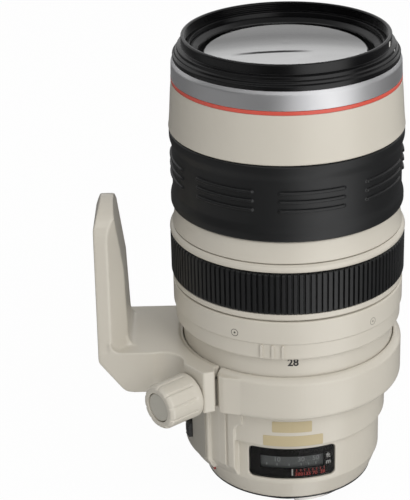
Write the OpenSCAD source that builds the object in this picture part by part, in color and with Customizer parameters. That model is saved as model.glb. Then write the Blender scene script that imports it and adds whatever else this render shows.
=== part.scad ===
/* [Lengths along the axis] */
// Rear barrel, from the mount plane up to the tripod collar
rear_len = 41.5; // [40.5:0.1:46]
// Lower band of the rear barrel, from the mount plane to the step
low_len = 26; // [24:0.1:28]
// Width of the tripod collar
collar_len = 18.7; // [17.5:0.1:21]
// Part of the fixed barrel that shows when the zoom is pushed in
exposed_len = 8; // [6:0.1:14]
// Stepped lip at the rear of the index sleeve
lip_len = 7.3; // [6:0.1:9]
// Index sleeve above the lip
index_len = 9.2; // [7.5:0.1:14]
// Lower flange of the tension ring
flange_len = 3.2; // [2:0.1:4]
// Ribbed rubber of the tension ring
ribs_len = 16.8; // [12:0.1:22]
// Bead above the ribbed rubber
bead_len = 3.8; // [3:0.1:5]
// Concave skirt between the two grips
skirt_len = 8.6; // [7:0.1:12]
// Focus ring
focus_len = 30.5; // [26:0.1:36]
// Front barrel between the focus ring and the accent ring
front_len = 18.8; // [17:0.1:24]
// Coloured accent ring
accent_len = 1.6; // [1.2:0.1:3]
// Bright ring behind the filter ring
name_len = 7.3; // [6:0.1:9]
// Black filter ring at the front
filter_len = 8.7; // [8.4:0.1:10]

/* [Barrels] */
// Radius of the fixed barrel beyond the filter thread
barrel_rise = 3.8; // [3.4:0.1:5]
// Wall of the fixed barrel
fixed_wall = 2; // [1.8:0.1:2.6]
// Wall of the tube that carries the outer rings
grip_tube_wall = 0.6; // [0.5:0.1:0.9]
// Wall of the turning sleeves under the rubber
ring_wall = 0.6; // [0.5:0.1:0.9]
// Outer radius of the rear barrel under the collar
rear_r = 39.2; // [38.6:0.1:40]
// Outer radius of the lower band with the distance window
low_r = 37; // [36.8:0.1:37.6]
// Wall of the lower band
rear_wall = 2.4; // [2.2:0.1:2.6]
// Radius of the rear barrel where it meets the mount
neck_r = 33.9; // [33.6:0.1:34.4]
// Height of the taper from the neck to the lower band
taper_len = 9; // [7:0.1:9.5]

/* [Outer rings] */
// Height of the index sleeve above the turning cores
sleeve_rise = 1.6; // [1.3:0.1:2.2]
// Height of the stepped lip above the turning cores
lip_rise = 0.9; // [0.6:0.1:1.2]
// Height of the bead above the turning cores
bead_rise = 2.2; // [1.8:0.1:2.8]
// Height of the ribbed rubber above the turning cores
ribs_rise = 2.1; // [1.6:0.1:2.6]
// Depth of the grooves between the ribs
rib_depth = 0.75; // [0.4:0.05:1]
// Number of ribs round the tension ring
rib_count = 130; // [100:2:140]
// Height of the focus grip at its ends
grip_rise = 1.4; // [1.2:0.1:2]
// Height of the focus grip at its waist
waist_rise = 0.55; // [0.4:0.05:0.9]
// Groups of raised bars round the focus grip
bar_groups = 8; // [6:1:9]
// Angle that one raised bar covers
bar_angle = 33; // [26:1:36]
// Height of a raised bar above the waist
bar_rise = 0.6; // [0.3:0.05:0.8]
// Width of a raised bar along the axis
bar_w = 1.5; // [1:0.1:2]
// Spacing of the three raised bars along the axis
bar_pitch = 3.55; // [3:0.05:4]
// Height of the skirt at its waist
skirt_waist = 0.2; // [0.1:0.05:0.5]
// Height of the skirt at its rear edge
skirt_rise = 1.1; // [0.8:0.1:1.4]
// Height of the front barrel at its rear edge
flare_rise = 1.55; // [1.2:0.05:2]

/* [Front] */
// Radius of the filter thread's wall, for 77 mm filters
filter_r = 38.1; // [35.6:0.1:40.6]
// Length of the filter thread
filter_thread_len = 3.2; // [2.6:0.1:3.4]
// Wall of the front rim outside the thread
rim_wall = 1.5; // [1.2:0.1:1.8]
// Width of the step from the filter thread in to the front glass
glass_step = 5.1; // [4.8:0.1:7]
// Depth of the front glass edge below the rim
glass_depth = 7; // [6.6:0.1:7.2]
// Radius of the front glass's outer curve
glass_curve = 190; // [180:1:240]

/* [Tripod collar and foot] */
// Wall of the collar
collar_wall = 3.2; // [2.9:0.1:3.8]
// Direction of the collar's split
split_az = -40.5; // [-41:0.5:-39]
// Angle of the gap at the split
split_gap = 1.4; // [1.2:0.1:3]
// Direction of the collar's hinge
hinge_az = 124; // [122:1:125]
// Radius of the hinge knuckles
knuckle_r = 3; // [2.6:0.1:3.2]
// Radius of the hinge pin
pin_r = 1.2; // [1:0.05:1.5]
// Distance of the foot's sole from the optical axis
foot_reach = 75.5; // [74:0.5:80]
// Half width of the foot at the arm
foot_half = 21; // [19:0.5:22]
// Half width of the foot at its tip
tip_half = 15; // [13:0.5:16]
// Height of the foot's tip above the mount plane
foot_top = 119; // [114:0.5:122]
// Thickness of the foot at its edges
foot_edge = 5.3; // [4.6:0.1:6]
// Thickness of the foot's middle at the arm
foot_root = 12; // [11:0.1:13]
// Thickness of the foot's middle at the tip
foot_tip = 7.7; // [7:0.1:8.4]
// Radius of the tripod screw's thread, 1/4 inch
tripod_r = 2.6; // [2.5:0.05:3.2]
// Length of the threaded bush in the foot
bush_len = 7.5; // [6.5:0.5:8]

/* [Lock knob] */
// Direction of the knob's axis
knob_az = -50; // [-51:0.5:-49]
// Height of the lug's face above the collar
lug_rise = 5.9; // [5:0.1:7.5]
// Radius of the knob
knob_r = 9; // [8:0.1:10]
// Length of the knob
knob_len = 16; // [13:0.5:18]
// Number of flutes round the knob
flute_count = 10; // [8:1:14]
// Depth of a flute
flute_depth = 0.35; // [0.2:0.05:0.8]
// Radius of the smooth cap in the knob
cap_r = 5.6; // [5:0.1:7]
// Radius of the lock screw
screw_r = 3.6; // [3:0.1:3.8]

/* [Window and switches] */
// Half angle of the distance window
window_half = 27.8; // [24:0.1:29]
// Lower edge of the distance window
window_z = 10.8; // [9.8:0.1:12]
// Height of the distance window
window_h = 13.8; // [12:0.1:15.2]
// Radius of the raised panel beside the window
panel_r = 40.3; // [39.8:0.1:40.8]
// Radius of the switch housing
switch_r = 42; // [41.6:0.1:42.4]
// Middle direction of the switch housing
switch_az = -88; // [-90:1:-86]
// Half angle of the switch housing
switch_half = 36; // [33:0.5:37]
// Angle between neighbouring switches
switch_pitch = 17; // [14:0.5:18]
// Width of a switch
switch_w = 4; // [3:0.1:5]
// Length of a switch
switch_l = 6; // [5:0.1:8]
// Travel of a switch
switch_travel = 3; // [2:0.1:4]

/* [Mount] */
// Radius of the mount's flange
mount_r = 32.5; // [32:0.1:32.9]
// Thickness of the mount's flange
mount_t = 2.6; // [2.2:0.1:3]
// Radius of the mount's spigot
spigot_r = 25.3; // [25:0.1:25.8]
// Wall of the mount's spigot
spigot_wall = 1.3; // [1.1:0.1:1.6]
// Length of the mount's spigot
spigot_len = 5.6; // [5:0.1:6.5]
// Radius over the bayonet tabs
tab_r = 27; // [26.6:0.1:27.4]
// Thickness of a bayonet tab
tab_t = 1.7; // [1.4:0.1:2]

/* [Zoom mechanism] */
// Travel of the zoom unit
zoom_travel = 68; // [60:1:72]
// Turn of the cam tube over the whole travel
cam_turn = 45; // [40:1:50]
// Travel of the variator group
variator_travel = 10; // [8:1:12]
// Travel of the relay group
relay_travel = 24; // [20:1:26]
// Travel of the focus group each way
focus_travel = 2; // [1:0.1:2.4]
// Radius of the cam followers and zoom rollers
roller_r = 2; // [1.6:0.1:2.2]
// Wall of the inner zoom tube
zoom_tube_wall = 1.1; // [0.9:0.1:1.3]
// Wall of the cam tube
cam_wall = 1.7; // [1.4:0.1:2]
// Wall of the straight guide tube
guide_wall = 1.4; // [1.2:0.1:1.8]

/* [Clearances] */
// Gap between tubes that slide in one another
slide_gap = 0.4; // [0.35:0.05:0.5]
// Gap between pieces that turn
run_gap = 0.3; // [0.25:0.05:0.4]
// Gap between fitted pieces
fit_gap = 0.05; // [0.02:0.01:0.08]

/* [Hidden] */
$fn = 96;

paint = [0.80, 0.78, 0.73];
rubber = [0.16, 0.16, 0.16];
black = [0.10, 0.10, 0.10];
steel = [0.72, 0.72, 0.72];
glass = [0.62, 0.70, 0.72, 0.6];

// Heights of the joints between the outer pieces
collar_z = rear_len + run_gap;
collar_top = rear_len + collar_len;
sleeve_z = collar_top + exposed_len;
index_z = sleeve_z + lip_len;
tension_z = index_z + index_len;
ribs_z = tension_z + flange_len;
bead_z = ribs_z + ribs_len;
skirt_z = bead_z + bead_len;
focus_z = skirt_z + skirt_len;
front_z = focus_z + focus_len;
accent_z = front_z + front_len;
name_z = accent_z + accent_len;
filter_z = name_z + name_len;
rim_z = filter_z + filter_len;

// Radii of the nested tubes, from the fixed barrel outwards
barrel_r = filter_r + barrel_rise;
grip_in = barrel_r + slide_gap;
grip_out = grip_in + grip_tube_wall;
ring_in = grip_out + run_gap;
core_r = ring_in + ring_wall;
sleeve_r = core_r + sleeve_rise;
// and from the fixed barrel inwards
fixed_in = barrel_r - fixed_wall;
zoom_out = fixed_in - slide_gap;
zoom_in = zoom_out - zoom_tube_wall;
cam_out = zoom_in - run_gap;
cam_in = cam_out - cam_wall;
guide_out = cam_in - slide_gap;
guide_in = guide_out - guide_wall;
cell_r = guide_in - run_gap;

// Inner heights of the zoom mechanism
flange_t = 2.2;
deck_z = rear_len + flange_t;
cam_z = deck_z + run_gap;
tube_lift = 5;
tube_z = cam_z + tube_lift;
roller_lift = 4;
roller_z = tube_z + roller_lift;
web_len = 12.4;
web_z = accent_z - web_len;
web_gap = 2;
fixed_top = web_z - web_gap;
cam_end = 4;
cam_top = roller_z + zoom_travel + roller_r + cam_end;
guide_step = 6;
guide_top = cam_top - guide_step;
relay_lift = 3.5;
relay_z = deck_z + relay_lift;
relay_len = 28;
relay_pin_z = relay_z + relay_len / 2;
variator_len = 14;
group_gap = 20;
variator_z = relay_z + relay_len + group_gap;
variator_pin_z = variator_z + variator_len / 2;
// Directions of the drive rollers and of the two sets of followers
roller_az = 0;
relay_az = 58;
variator_az = 76;
pin_gap = 0.3;
pin_tip = cam_out - 0.3;
thirds = [0, 120, 240];

// Tripod collar
collar_in = barrel_r + run_gap;
collar_out = collar_in + collar_wall;
lug_reach = collar_out + lug_rise;
rib_r = barrel_r + 1.4;
rib_w = 3.5;
rib_z = collar_z + 7.5;
groove_r = rib_r + slide_gap;
knob_z = collar_z + 6.7;
hinge_r = collar_out + 1;
tongue_in = groove_r;
tongue_t = 1.2;
tongue_h = 11;
tongue_end = split_az - 13;
pocket_r = tongue_in + tongue_t + 0.9;
tongue_z = knob_z - tongue_h / 2 + 1;
knuckle_h = 5.2;
arm_z = collar_z + 1;
arm_top = collar_top + 0.3;
sole_x = -foot_reach;
bush_z = (arm_top + foot_top) / 2;
bush_r = 5;

// Rear barrel
rear_in = low_r - rear_wall;
floor_t = 3;
floor_z = mount_t + floor_t;
skirt_bottom = 0.7;
sleeve_out = rear_in - 4.6;
sleeve_in = sleeve_out - 1.4;
motor_out = rear_in - 1;
stator_h = 5;
rotor_h = 3.5;
hanger_t = 2;
stator_z = rear_len - hanger_t - stator_h;
rotor_z = stator_z - run_gap - rotor_h;
drum_out = rear_in - slide_gap;
drum_wall = 0.9;
window_sink = 0.4;
window_out = low_r - window_sink;
window_t = 1;
switch_top = rear_len - 0.4;
switch_z = 22;
plate_t = 0.7;
plate_r = switch_r - 0.3;
pocket_floor = switch_r - 2.6;
throat_r = spigot_r - spigot_wall;

// Points of an arc in the radius and height plane
function arc(c, r, from, to, n = 5) =
    [for (i = [0:n]) let (a = from + (to - from) * i / n) [c[0] + r * cos(a), c[1] + r * sin(a)]];

// A point in the plan of the lens, counted from its front
function polar(r, az) = [r * sin(az), -r * cos(az)];

// A turned piece from its half section
module turned(points) {
    rotate_extrude() polygon(points);
}

// A plain ring between two radii and two heights
module ring(inner, outer, bottom, top) {
    rotate_extrude() translate([inner, bottom]) square([outer - inner, top - bottom]);
}

// Part of a ring between two directions, counted from the front of the lens
module arc_block(inner, outer, bottom, top, from, to) {
    rotate([0, 0, from - 90])
        rotate_extrude(angle = to - from)
            translate([inner, bottom]) square([outer - inner, top - bottom]);
}

// Children along a radius: their +Z points away from the axis
module radial(az, z, distance) {
    rotate([0, 0, az]) translate([0, -distance, z]) rotate([90, 0, 0]) children();
}

// A pin along a radius
module radial_pin(az, z, from, to, r) {
    radial(az, z, from) cylinder(r = r, h = to - from, $fn = 48);
}

// A helical slot through the cam tube, for a follower at one direction
module cam_slot(az, z, travel) {
    mid = (cam_in + cam_out) / 2;
    slope = atan2(travel, mid * cam_turn * PI / 180);
    half = roller_r + pin_gap;
    wide = half / sin(slope) / mid * 180 / PI;
    over = half;
    turn = cam_turn * (travel + 2 * over) / travel;
    start = az - cam_turn * over / travel;
    inner = cam_in - 1;
    outer = cam_out + 1;
    translate([0, 0, z - over])
        rotate([0, 0, start])
            linear_extrude(height = travel + 2 * over, twist = -turn, slices = 12, segments = 4)
                polygon([[inner * sin(-wide), -inner * cos(wide)],
                    [outer * sin(-wide), -outer * cos(wide)],
                    [outer * sin(wide), -outer * cos(wide)],
                    [inner * sin(wide), -inner * cos(wide)]]);
}

// A glass element with a bulged front, seated on a flat rear
module lens_element(r, bottom, edge, curve) {
    rise = curve - sqrt(curve * curve - r * r);
    intersection() {
        translate([0, 0, bottom]) cylinder(r = r, h = edge + rise);
        translate([0, 0, bottom + edge + rise - curve]) sphere(r = curve, $fn = 240);
    }
}

// Mount

tab_angle = 55;
tab_az = [30, 150, 270];
screw_az = [0, 90, 180, 270];
screw_circle = 29.2;
screw_head_r = 1.9;
screw_shank_r = 0.95;
screw_head_t = 1.2;
screw_sink = 0.1;
screw_len = 4.6;

module mount_flange() {
    color(steel) difference() {
        union() {
            ring(throat_r, mount_r, 0, mount_t);
            ring(throat_r, spigot_r, -spigot_len, 0.5);
            for (a = tab_az) {
                arc_block(spigot_r - 0.5, tab_r, -spigot_len, tab_t - spigot_len,
                    a - tab_angle / 2, a + tab_angle / 2);
            }
        }
        for (a = screw_az) {
            rotate([0, 0, a]) translate([0, -screw_circle, -1]) {
                cylinder(r = screw_shank_r + fit_gap, h = mount_t + 2, $fn = 32);
                cylinder(r = screw_head_r + fit_gap, h = 1 + screw_sink + screw_head_t, $fn = 32);
            }
        }
    }
}

module mount_screws() {
    color(steel) for (a = screw_az) {
        rotate([0, 0, a]) translate([0, -screw_circle, screw_sink]) {
            cylinder(r = screw_head_r, h = screw_head_t, $fn = 32);
            cylinder(r = screw_shank_r, h = screw_len, $fn = 32);
        }
    }
}

module mount_gasket() {
    color(rubber) ring(mount_r + fit_gap, neck_r - 0.1, 0.1, skirt_bottom);
}

baffle_r = 16;
baffle_flange_z = 0.2;
lens_seat_z = 1;
rear_glass_r = 18.2;

module rear_baffle() {
    color(black) turned([[baffle_r, -3], [baffle_r + 3.5, -3], [baffle_r + 3.5, baffle_flange_z],
        [throat_r - fit_gap, baffle_flange_z], [throat_r - fit_gap, floor_z],
        [rear_glass_r + fit_gap, floor_z], [rear_glass_r + fit_gap, lens_seat_z],
        [baffle_r, lens_seat_z]]);
}

module rear_lens() {
    color(glass) lens_element(rear_glass_r, lens_seat_z, 2.4, 60);
}

contact_az = 200;
contact_half = 32;
contact_count = 8;
contact_step = 7;
contact_r = 22;
contact_pin_r = 0.7;
contact_end = -spigot_len + 0.5;

module contact_block() {
    color(black) difference() {
        arc_block(baffle_r + 4, throat_r - fit_gap, contact_end, baffle_flange_z,
            contact_az - contact_half, contact_az + contact_half);
        for (i = [0:contact_count - 1]) {
            contact_hole(i, contact_pin_r + fit_gap, contact_end - 1, -1);
        }
    }
}

module contact_hole(i, r, from, to) {
    rotate([0, 0, contact_az + (i - (contact_count - 1) / 2) * contact_step])
        translate([0, -contact_r, from]) cylinder(r = r, h = to - from, $fn = 24);
}

module contact_pins() {
    color("gold") for (i = [0:contact_count - 1]) {
        contact_hole(i, contact_pin_r, contact_end - 0.25, -1);
    }
}

// Rear barrel with the distance window and the switch housing

index_az = -60.3;
index_dot_z = 5.9;
index_dot_r = 1.3;
dot_tilt = atan((low_r - neck_r) / (taper_len - skirt_bottom));
dot_seat_r = neck_r + (index_dot_z - skirt_bottom) * tan(dot_tilt);
dot_rise = 0.3;
dot_depth = 0.4;

module mount_index() {
    color("firebrick") index_bead(index_dot_r, dot_depth);
}

// The bead stands square on the barrel's tapered end
module index_bead(r, depth) {
    rotate([0, 0, index_az]) translate([0, -dot_seat_r, index_dot_z]) rotate([90 + dot_tilt, 0, 0])
        translate([0, 0, -depth]) cylinder(r = r, h = depth + dot_rise, $fn = 48);
}

switch_from = switch_az - switch_half;
switch_to = switch_az + switch_half;
panel_to = -34.6;
panel_groove = [-40.6, -39.1];
shoulder_z = 31;
shoulder_r = 4;
shoulder_to = -29.6;
panel_groove_depth = 0.9;
panel_z = taper_len + 0.8;
bevel_h = 4.5;
bevel_in = 2.6;
corner_r = 2;

// The window's opening with its rounded corners
module window_opening() {
    inner = rear_in - 1;
    outer = low_r + 1;
    inset = corner_r / low_r * 180 / PI;
    low = window_z + corner_r;
    high = window_z + window_h - corner_r;
    arc_block(inner, outer, low, high, -window_half, window_half);
    arc_block(inner, outer, window_z, window_z + window_h, inset - window_half, window_half - inset);
    for (a = [inset - window_half, window_half - inset]) for (z = [low, high])
        radial_pin(a, z, inner - 1, outer + 1, corner_r);
}

module rear_barrel() {
    color(paint) difference() {
        union() {
            turned([[throat_r + 2, mount_t], [mount_r + fit_gap, mount_t],
                [mount_r + fit_gap, skirt_bottom], [neck_r, skirt_bottom], [low_r, taper_len],
                [low_r, low_len], [rear_r, low_len + 0.9], [rear_r, rear_len],
                [rear_in, rear_len], [rear_in, floor_z], [throat_r + 2, floor_z]]);
            side_block(panel_r, panel_z, switch_top - 0.2, panel_to, switch_to - 0.5);
            side_block(switch_r, panel_z - 0.5, switch_top, switch_to, switch_from);
            panel_shoulder();
        }
        arc_block(panel_r - panel_groove_depth, panel_r + 1, panel_z - 1, switch_top + 1,
            panel_groove[0], panel_groove[1]);
        window_opening();
        arc_block(plate_r, switch_r + 1, plate_z, plate_top, plate_from, plate_to);
        for (i = [-1:1]) switch_pocket(i);
        index_bead(index_dot_r + fit_gap, dot_depth + fit_gap);
        for (a = screw_az) {
            rotate([0, 0, a]) translate([0, -screw_circle, mount_t - 1])
                cylinder(r = screw_shank_r + fit_gap, h = screw_len, $fn = 32);
        }
    }
}

// The panel's upper corner, which widens over the window in a curve
module panel_shoulder() {
    difference() {
        arc_block(rear_in + 0.5, panel_r, shoulder_z, switch_top - 0.2, panel_to - 0.5, shoulder_to);
        radial_pin(panel_to + shoulder_r / panel_r * 180 / PI, shoulder_z, rear_in, panel_r + 1,
            shoulder_r);
    }
}

// A raised part of the rear barrel with a bevelled lower edge
module side_block(r, bottom, top, to, from) {
    rotate([0, 0, from - 90]) rotate_extrude(angle = to - from)
        polygon([[rear_in + 0.5, bottom], [r - bevel_in, bottom], [r, bottom + bevel_h],
            [r, top], [rear_in + 0.5, top]]);
}

plate_margin = 2;
plate_z = panel_z + 4;
plate_top = switch_top - 1.6;
plate_from = switch_from + plate_margin;
plate_to = switch_to - plate_margin;

// Clear space for a switch and its travel
module switch_pocket(i) {
    radial(switch_az + i * switch_pitch, switch_z + switch_travel / 2, pocket_floor)
        linear_extrude(height = switch_r - pocket_floor + 2)
            square([switch_w + 2 * run_gap, switch_l + switch_travel + 2 * run_gap], center = true);
}

module switch_plate() {
    color([0.52, 0.52, 0.51]) difference() {
        arc_block(plate_r, plate_r + plate_t, plate_z + fit_gap, plate_top - fit_gap,
            plate_from + 0.1, plate_to - 0.1);
        for (i = [-1:1]) switch_pocket(i);
    }
}

switch_foot = pocket_floor + run_gap;
switch_height = 4.2;
switch_thumb = 1.2;

// A slide switch: a flat slider with a ridged thumb piece
module slide_switch(i) {
    color(black) radial(switch_az + i * switch_pitch, switch_z, switch_foot) difference() {
        linear_extrude(height = switch_height) square([switch_w, switch_l], center = true);
        for (s = [-1, 1]) {
            translate([0, s * (switch_thumb / 2 + switch_l / 4), switch_height])
                rotate([0, 90, 0]) cylinder(r = switch_thumb / 2, h = switch_w + 1, center = true, $fn = 24);
        }
    }
}

module af_switch() {
    slide_switch(-1);
}

module stabilizer_switch() {
    slide_switch(0);
}

module mode_switch() {
    slide_switch(1);
}

pane_corner_r = corner_r + 0.4;
pane_corner_in = pane_corner_r * 0.95;

// What rounds off one corner of the window's pane
module pane_corner(side, edge) {
    turn = pane_corner_in / low_r * 180 / PI;
    middle = side - sign(side) * turn;
    far = side + sign(side);
    up = edge > window_z + window_h / 2 ? 1 : -1;
    z = edge - up * pane_corner_in;
    difference() {
        arc_block(rear_in - 1, low_r + 1, min(z, edge + up), max(z, edge + up), min(middle, far),
            max(middle, far));
        radial_pin(middle, z, rear_in - 2, low_r + 2, pane_corner_r);
    }
}

module distance_window() {
    half = window_half - 0.1;
    low = window_z + fit_gap;
    high = window_z + window_h - fit_gap;
    color([0.25, 0.25, 0.25, 0.5]) difference() {
        arc_block(window_out - window_t, window_out, low, high, -half, half);
        for (s = [-half, half]) for (z = [low, high]) pane_corner(s, z);
    }
}

// Drive in the rear barrel

module circuit_board() {
    color("darkgreen") ring(throat_r + 2.5, drum_out - 0.2, floor_z, floor_z + 1.2);
}

module rear_sleeve() {
    color(black) turned([[sleeve_in, floor_z + 3], [sleeve_out, floor_z + 3],
        [sleeve_out, rear_len - hanger_t], [drum_out, rear_len - hanger_t],
        [drum_out, rear_len], [sleeve_in, rear_len]]);
}

module motor_stator() {
    color(steel) ring(sleeve_out, motor_out, stator_z, stator_z + stator_h);
}

module motor_rotor() {
    color("darkgoldenrod") ring(sleeve_out + run_gap, motor_out, rotor_z, rotor_z + rotor_h);
}

module distance_scale() {
    color(black) ring(drum_out - drum_wall, drum_out, floor_z + 1.2 + run_gap, rotor_z - run_gap);
}

focus_cell_r = sleeve_in - run_gap;
focus_cell_z = floor_z + 8 + focus_travel;
focus_cell_len = 16;
focus_glass_r = 20;

module focus_cell() {
    color(black) turned([[focus_glass_r - 2, focus_cell_z], [focus_cell_r, focus_cell_z],
        [focus_cell_r, focus_cell_z + focus_cell_len],
        [focus_glass_r + fit_gap, focus_cell_z + focus_cell_len],
        [focus_glass_r + fit_gap, focus_cell_z + 3], [focus_glass_r - 2, focus_cell_z + 3]]);
}

module focus_lens() {
    color(glass) lens_element(focus_glass_r, focus_cell_z + 3, 6, 48);
}

// Fixed barrel and the cam mechanism inside it

key_w = 4;
key_rise = 1;

module fixed_barrel() {
    color(paint) difference() {
        union() {
            ring(fixed_in, barrel_r, rear_len, fixed_top);
            ring(guide_in - 2.6, barrel_r, rear_len, deck_z);
            ring(barrel_r - 0.5, rib_r, rib_z, rib_z + rib_w);
        }
        for (a = thirds) {
            rotate([0, 0, roller_az + a])
                translate([-key_w / 2 - pin_gap, -fixed_in - key_rise, deck_z + 3])
                    cube([key_w + 2 * pin_gap, key_rise + 2, fixed_top]);
        }
    }
}

module guide_tube() {
    color("dimgray") difference() {
        ring(guide_in, guide_out, deck_z, guide_top);
        for (a = thirds) {
            straight_slot(relay_az + a, relay_pin_z, relay_travel);
            straight_slot(variator_az + a, variator_pin_z, variator_travel);
        }
    }
}

// A straight slot along the guide tube, with rounded ends
module straight_slot(az, z, travel) {
    half = roller_r + pin_gap;
    over = guide_wall;
    radial_pin(az, z, guide_in - over, guide_out + over, half);
    radial_pin(az, z + travel, guide_in - over, guide_out + over, half);
    rotate([0, 0, az]) translate([-half, -guide_out - over, z])
        cube([2 * half, guide_wall + 2 * over, travel]);
}

module cam_tube() {
    color("tan") difference() {
        ring(cam_in, cam_out, cam_z, cam_top);
        for (a = thirds) {
            cam_slot(roller_az + a, roller_z, zoom_travel);
            cam_slot(relay_az + a, relay_pin_z, relay_travel);
            cam_slot(variator_az + a, variator_pin_z, variator_travel);
        }
    }
}

// Three cam followers round a lens cell
module followers(az, z) {
    for (a = thirds) radial_pin(az + a, z, cell_r - 1, pin_tip, roller_r);
}

variator_glass_r = 24;

module variator_cell() {
    color(black) {
        turned([[variator_glass_r - 2, variator_z], [cell_r, variator_z],
            [cell_r, variator_z + variator_len], [variator_glass_r + fit_gap, variator_z + variator_len],
            [variator_glass_r + fit_gap, variator_z + 3], [variator_glass_r - 2, variator_z + 3]]);
        followers(variator_az, variator_pin_z);
    }
}

module variator_lens() {
    color(glass) lens_element(variator_glass_r, variator_z + 3, 5, 70);
}

relay_wall = 3.2;
relay_in = cell_r - relay_wall;
relay_web_z = relay_z + 12;
relay_web_t = 2;
relay_hole_r = 12;
relay_glass_r = 20;

module relay_cell() {
    color(black) {
        turned([[relay_in, relay_z], [cell_r, relay_z], [cell_r, relay_z + relay_len],
            [relay_in, relay_z + relay_len], [relay_in, relay_web_z + relay_web_t],
            [relay_hole_r, relay_web_z + relay_web_t], [relay_hole_r, relay_web_z],
            [relay_in, relay_web_z]]);
        followers(relay_az, relay_pin_z);
    }
}

module relay_lens() {
    color(glass) lens_element(relay_glass_r, relay_web_z + relay_web_t, 4, 55);
}

shift_travel = 0.6;
shift_gap = shift_travel + run_gap;
shift_frame_t = 3.5;
shift_frame_r = 26;
shift_glass_r = 15;
shift_z = relay_web_z - run_gap - shift_frame_t;

module stabilizer_frame() {
    color("silver") ring(shift_glass_r + shift_gap, shift_frame_r, shift_z, shift_z + shift_frame_t);
}

module stabilizer_lens() {
    color(glass) lens_element(shift_glass_r, shift_z, 1.2, 90);
}

iris_z = relay_z + relay_len - 7;
iris_t = 4;
iris_ring_t = 2;
iris_hole_r = 13;

module iris_housing() {
    color(black) ring(iris_hole_r, relay_in - fit_gap, iris_z, iris_z + iris_t);
}

module iris_ring() {
    color("dimgray") ring(iris_hole_r + 3, relay_in - run_gap, iris_z + iris_t + run_gap,
        iris_z + iris_t + run_gap + iris_ring_t);
}

// Tripod collar: a foot half and a gate half on a hinge pin

bevel_top = 2.4;
bevel_side = 1.7;

module collar_section() {
    difference() {
        polygon(concat([[collar_in, collar_z]],
            arc([collar_out - bevel_top, collar_z + bevel_top], bevel_top, -90, 0),
            [[collar_out, collar_top - bevel_top], [collar_out - bevel_side, collar_top - 0.7],
                [collar_in, collar_top]]));
        translate([collar_in - 1, rib_z - run_gap])
            square([groove_r - collar_in + 1, rib_w + 2 * run_gap]);
    }
}

module collar_arc(from, to) {
    rotate([0, 0, from - 90]) rotate_extrude(angle = to - from) collar_section();
}

module at_hinge() {
    rotate([0, 0, hinge_az]) translate([0, -hinge_r, 0]) children();
}

gate_z = collar_z + (collar_len - run_gap - knuckle_h) / 2;

// Knuckles at the hinge, between two heights
module knuckle(bottom, top, extra) {
    at_hinge() translate([0, 0, bottom]) cylinder(r = knuckle_r + extra, h = top - bottom, $fn = 48);
}

module pin_hole() {
    at_hinge() translate([0, 0, collar_z - 1])
        cylinder(r = pin_r + fit_gap, h = collar_len + 2, $fn = 48);
}

knuckle_low = collar_z + 0.6;
knuckle_top = collar_top - 1;
lug_from = -61;
lug_to = split_az - split_gap / 2;
fillet_r = 9;
bar_back = 1.4;

// The arm and the clamp lug seen from above
module arm_plan() {
    lug_l = lug_reach / cos(lug_from - knob_az);
    lug_r = lug_reach / cos(lug_to - knob_az);
    a = polar(lug_l, lug_from);
    b = polar(lug_r, lug_to);
    inner = polar(collar_out - 0.5, lug_to);
    bar = [inner[0] - 0.2, b[1] + bar_back];
    corner = [a[0] - fillet_r * 0.9, -foot_half];
    difference() {
        polygon([[sole_x, -foot_half], corner, a, b, bar, inner, [0, 0], [0, foot_half],
            [sole_x, foot_half]]);
        translate([a[0] - fillet_r * 0.55, -foot_half - fillet_r * 0.93]) circle(r = fillet_r);
    }
}

chamfer_x = 10.4;
chamfer_z = 13.6;
chamfer_a = atan2(chamfer_z, chamfer_x);
heel_r = 5.5;
sole_r = 3;
fillet_top = 4;

// Side view of what the sloping lower corner takes off the arm
function heel_cut() =
    let (heel_x = sole_x + chamfer_x + heel_r * tan(chamfer_a / 2),
        sole_z = arm_z + chamfer_z + sole_r * tan((90 - chamfer_a) / 2))
    concat([[sole_x - 1, arm_z - 1], [heel_x, arm_z - 1]],
        arc([heel_x, arm_z + heel_r], heel_r, 270, 270 - chamfer_a),
        arc([sole_x + sole_r, sole_z], sole_r, 270 - chamfer_a, 180), [[sole_x - 1, sole_z]]);

// The arm, with its sloping lower corner at the foot
module arm() {
    difference() {
        translate([0, 0, arm_z]) linear_extrude(height = arm_top - arm_z) arm_plan();
        translate([0, 0, arm_z - 1]) cylinder(r = groove_r + fit_gap, h = arm_top);
        translate([0, foot_half + 1, 0]) rotate([90, 0, 0])
            linear_extrude(height = 2 * foot_half + 2) polygon(heel_cut());
    }
}

// Foot: an upright plate with a rounded tip, flat outside, bevelled and tapering inside
foot_z = arm_top - 2.4;
tip_z = foot_top - tip_half;
tip_slope = 2.7;
tip_slope_z = foot_top - 9;
belly_z = foot_top - 27;
foot_slant = acos(tip_half / norm([foot_half, tip_z - foot_z])) - atan2(tip_z - foot_z, foot_half);
bevel_d = foot_root - foot_edge + 1;

// Children lying in the plane of the sole, drawn in width and height, and raised inwards
module on_sole(depth) {
    translate([sole_x + depth, 0, 0]) rotate([90, 0, 90]) children();
}

// Outline of the foot: straight sides that run into a round tip
function foot_outline() = concat([[-foot_half, foot_z], [foot_half, foot_z]],
    arc([0, tip_z], tip_half, foot_slant, 180 - foot_slant, 16));

// A block right across the foot from its side view
module across_foot(points) {
    translate([0, foot_half + 1, 0]) rotate([90, 0, 0])
        linear_extrude(height = 2 * foot_half + 2) polygon(points);
}

// Rounded inner corner on the arm, at a distance from the sole
module inner_fillet(depth, half) {
    x = sole_x + depth;
    translate([0, half, 0]) rotate([90, 0, 0]) linear_extrude(height = 2 * half) difference() {
        translate([x - 1, arm_top - 1]) square(fillet_top + 1);
        translate([x + fillet_top, arm_top + fillet_top]) circle(r = fillet_top);
    }
}

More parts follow.
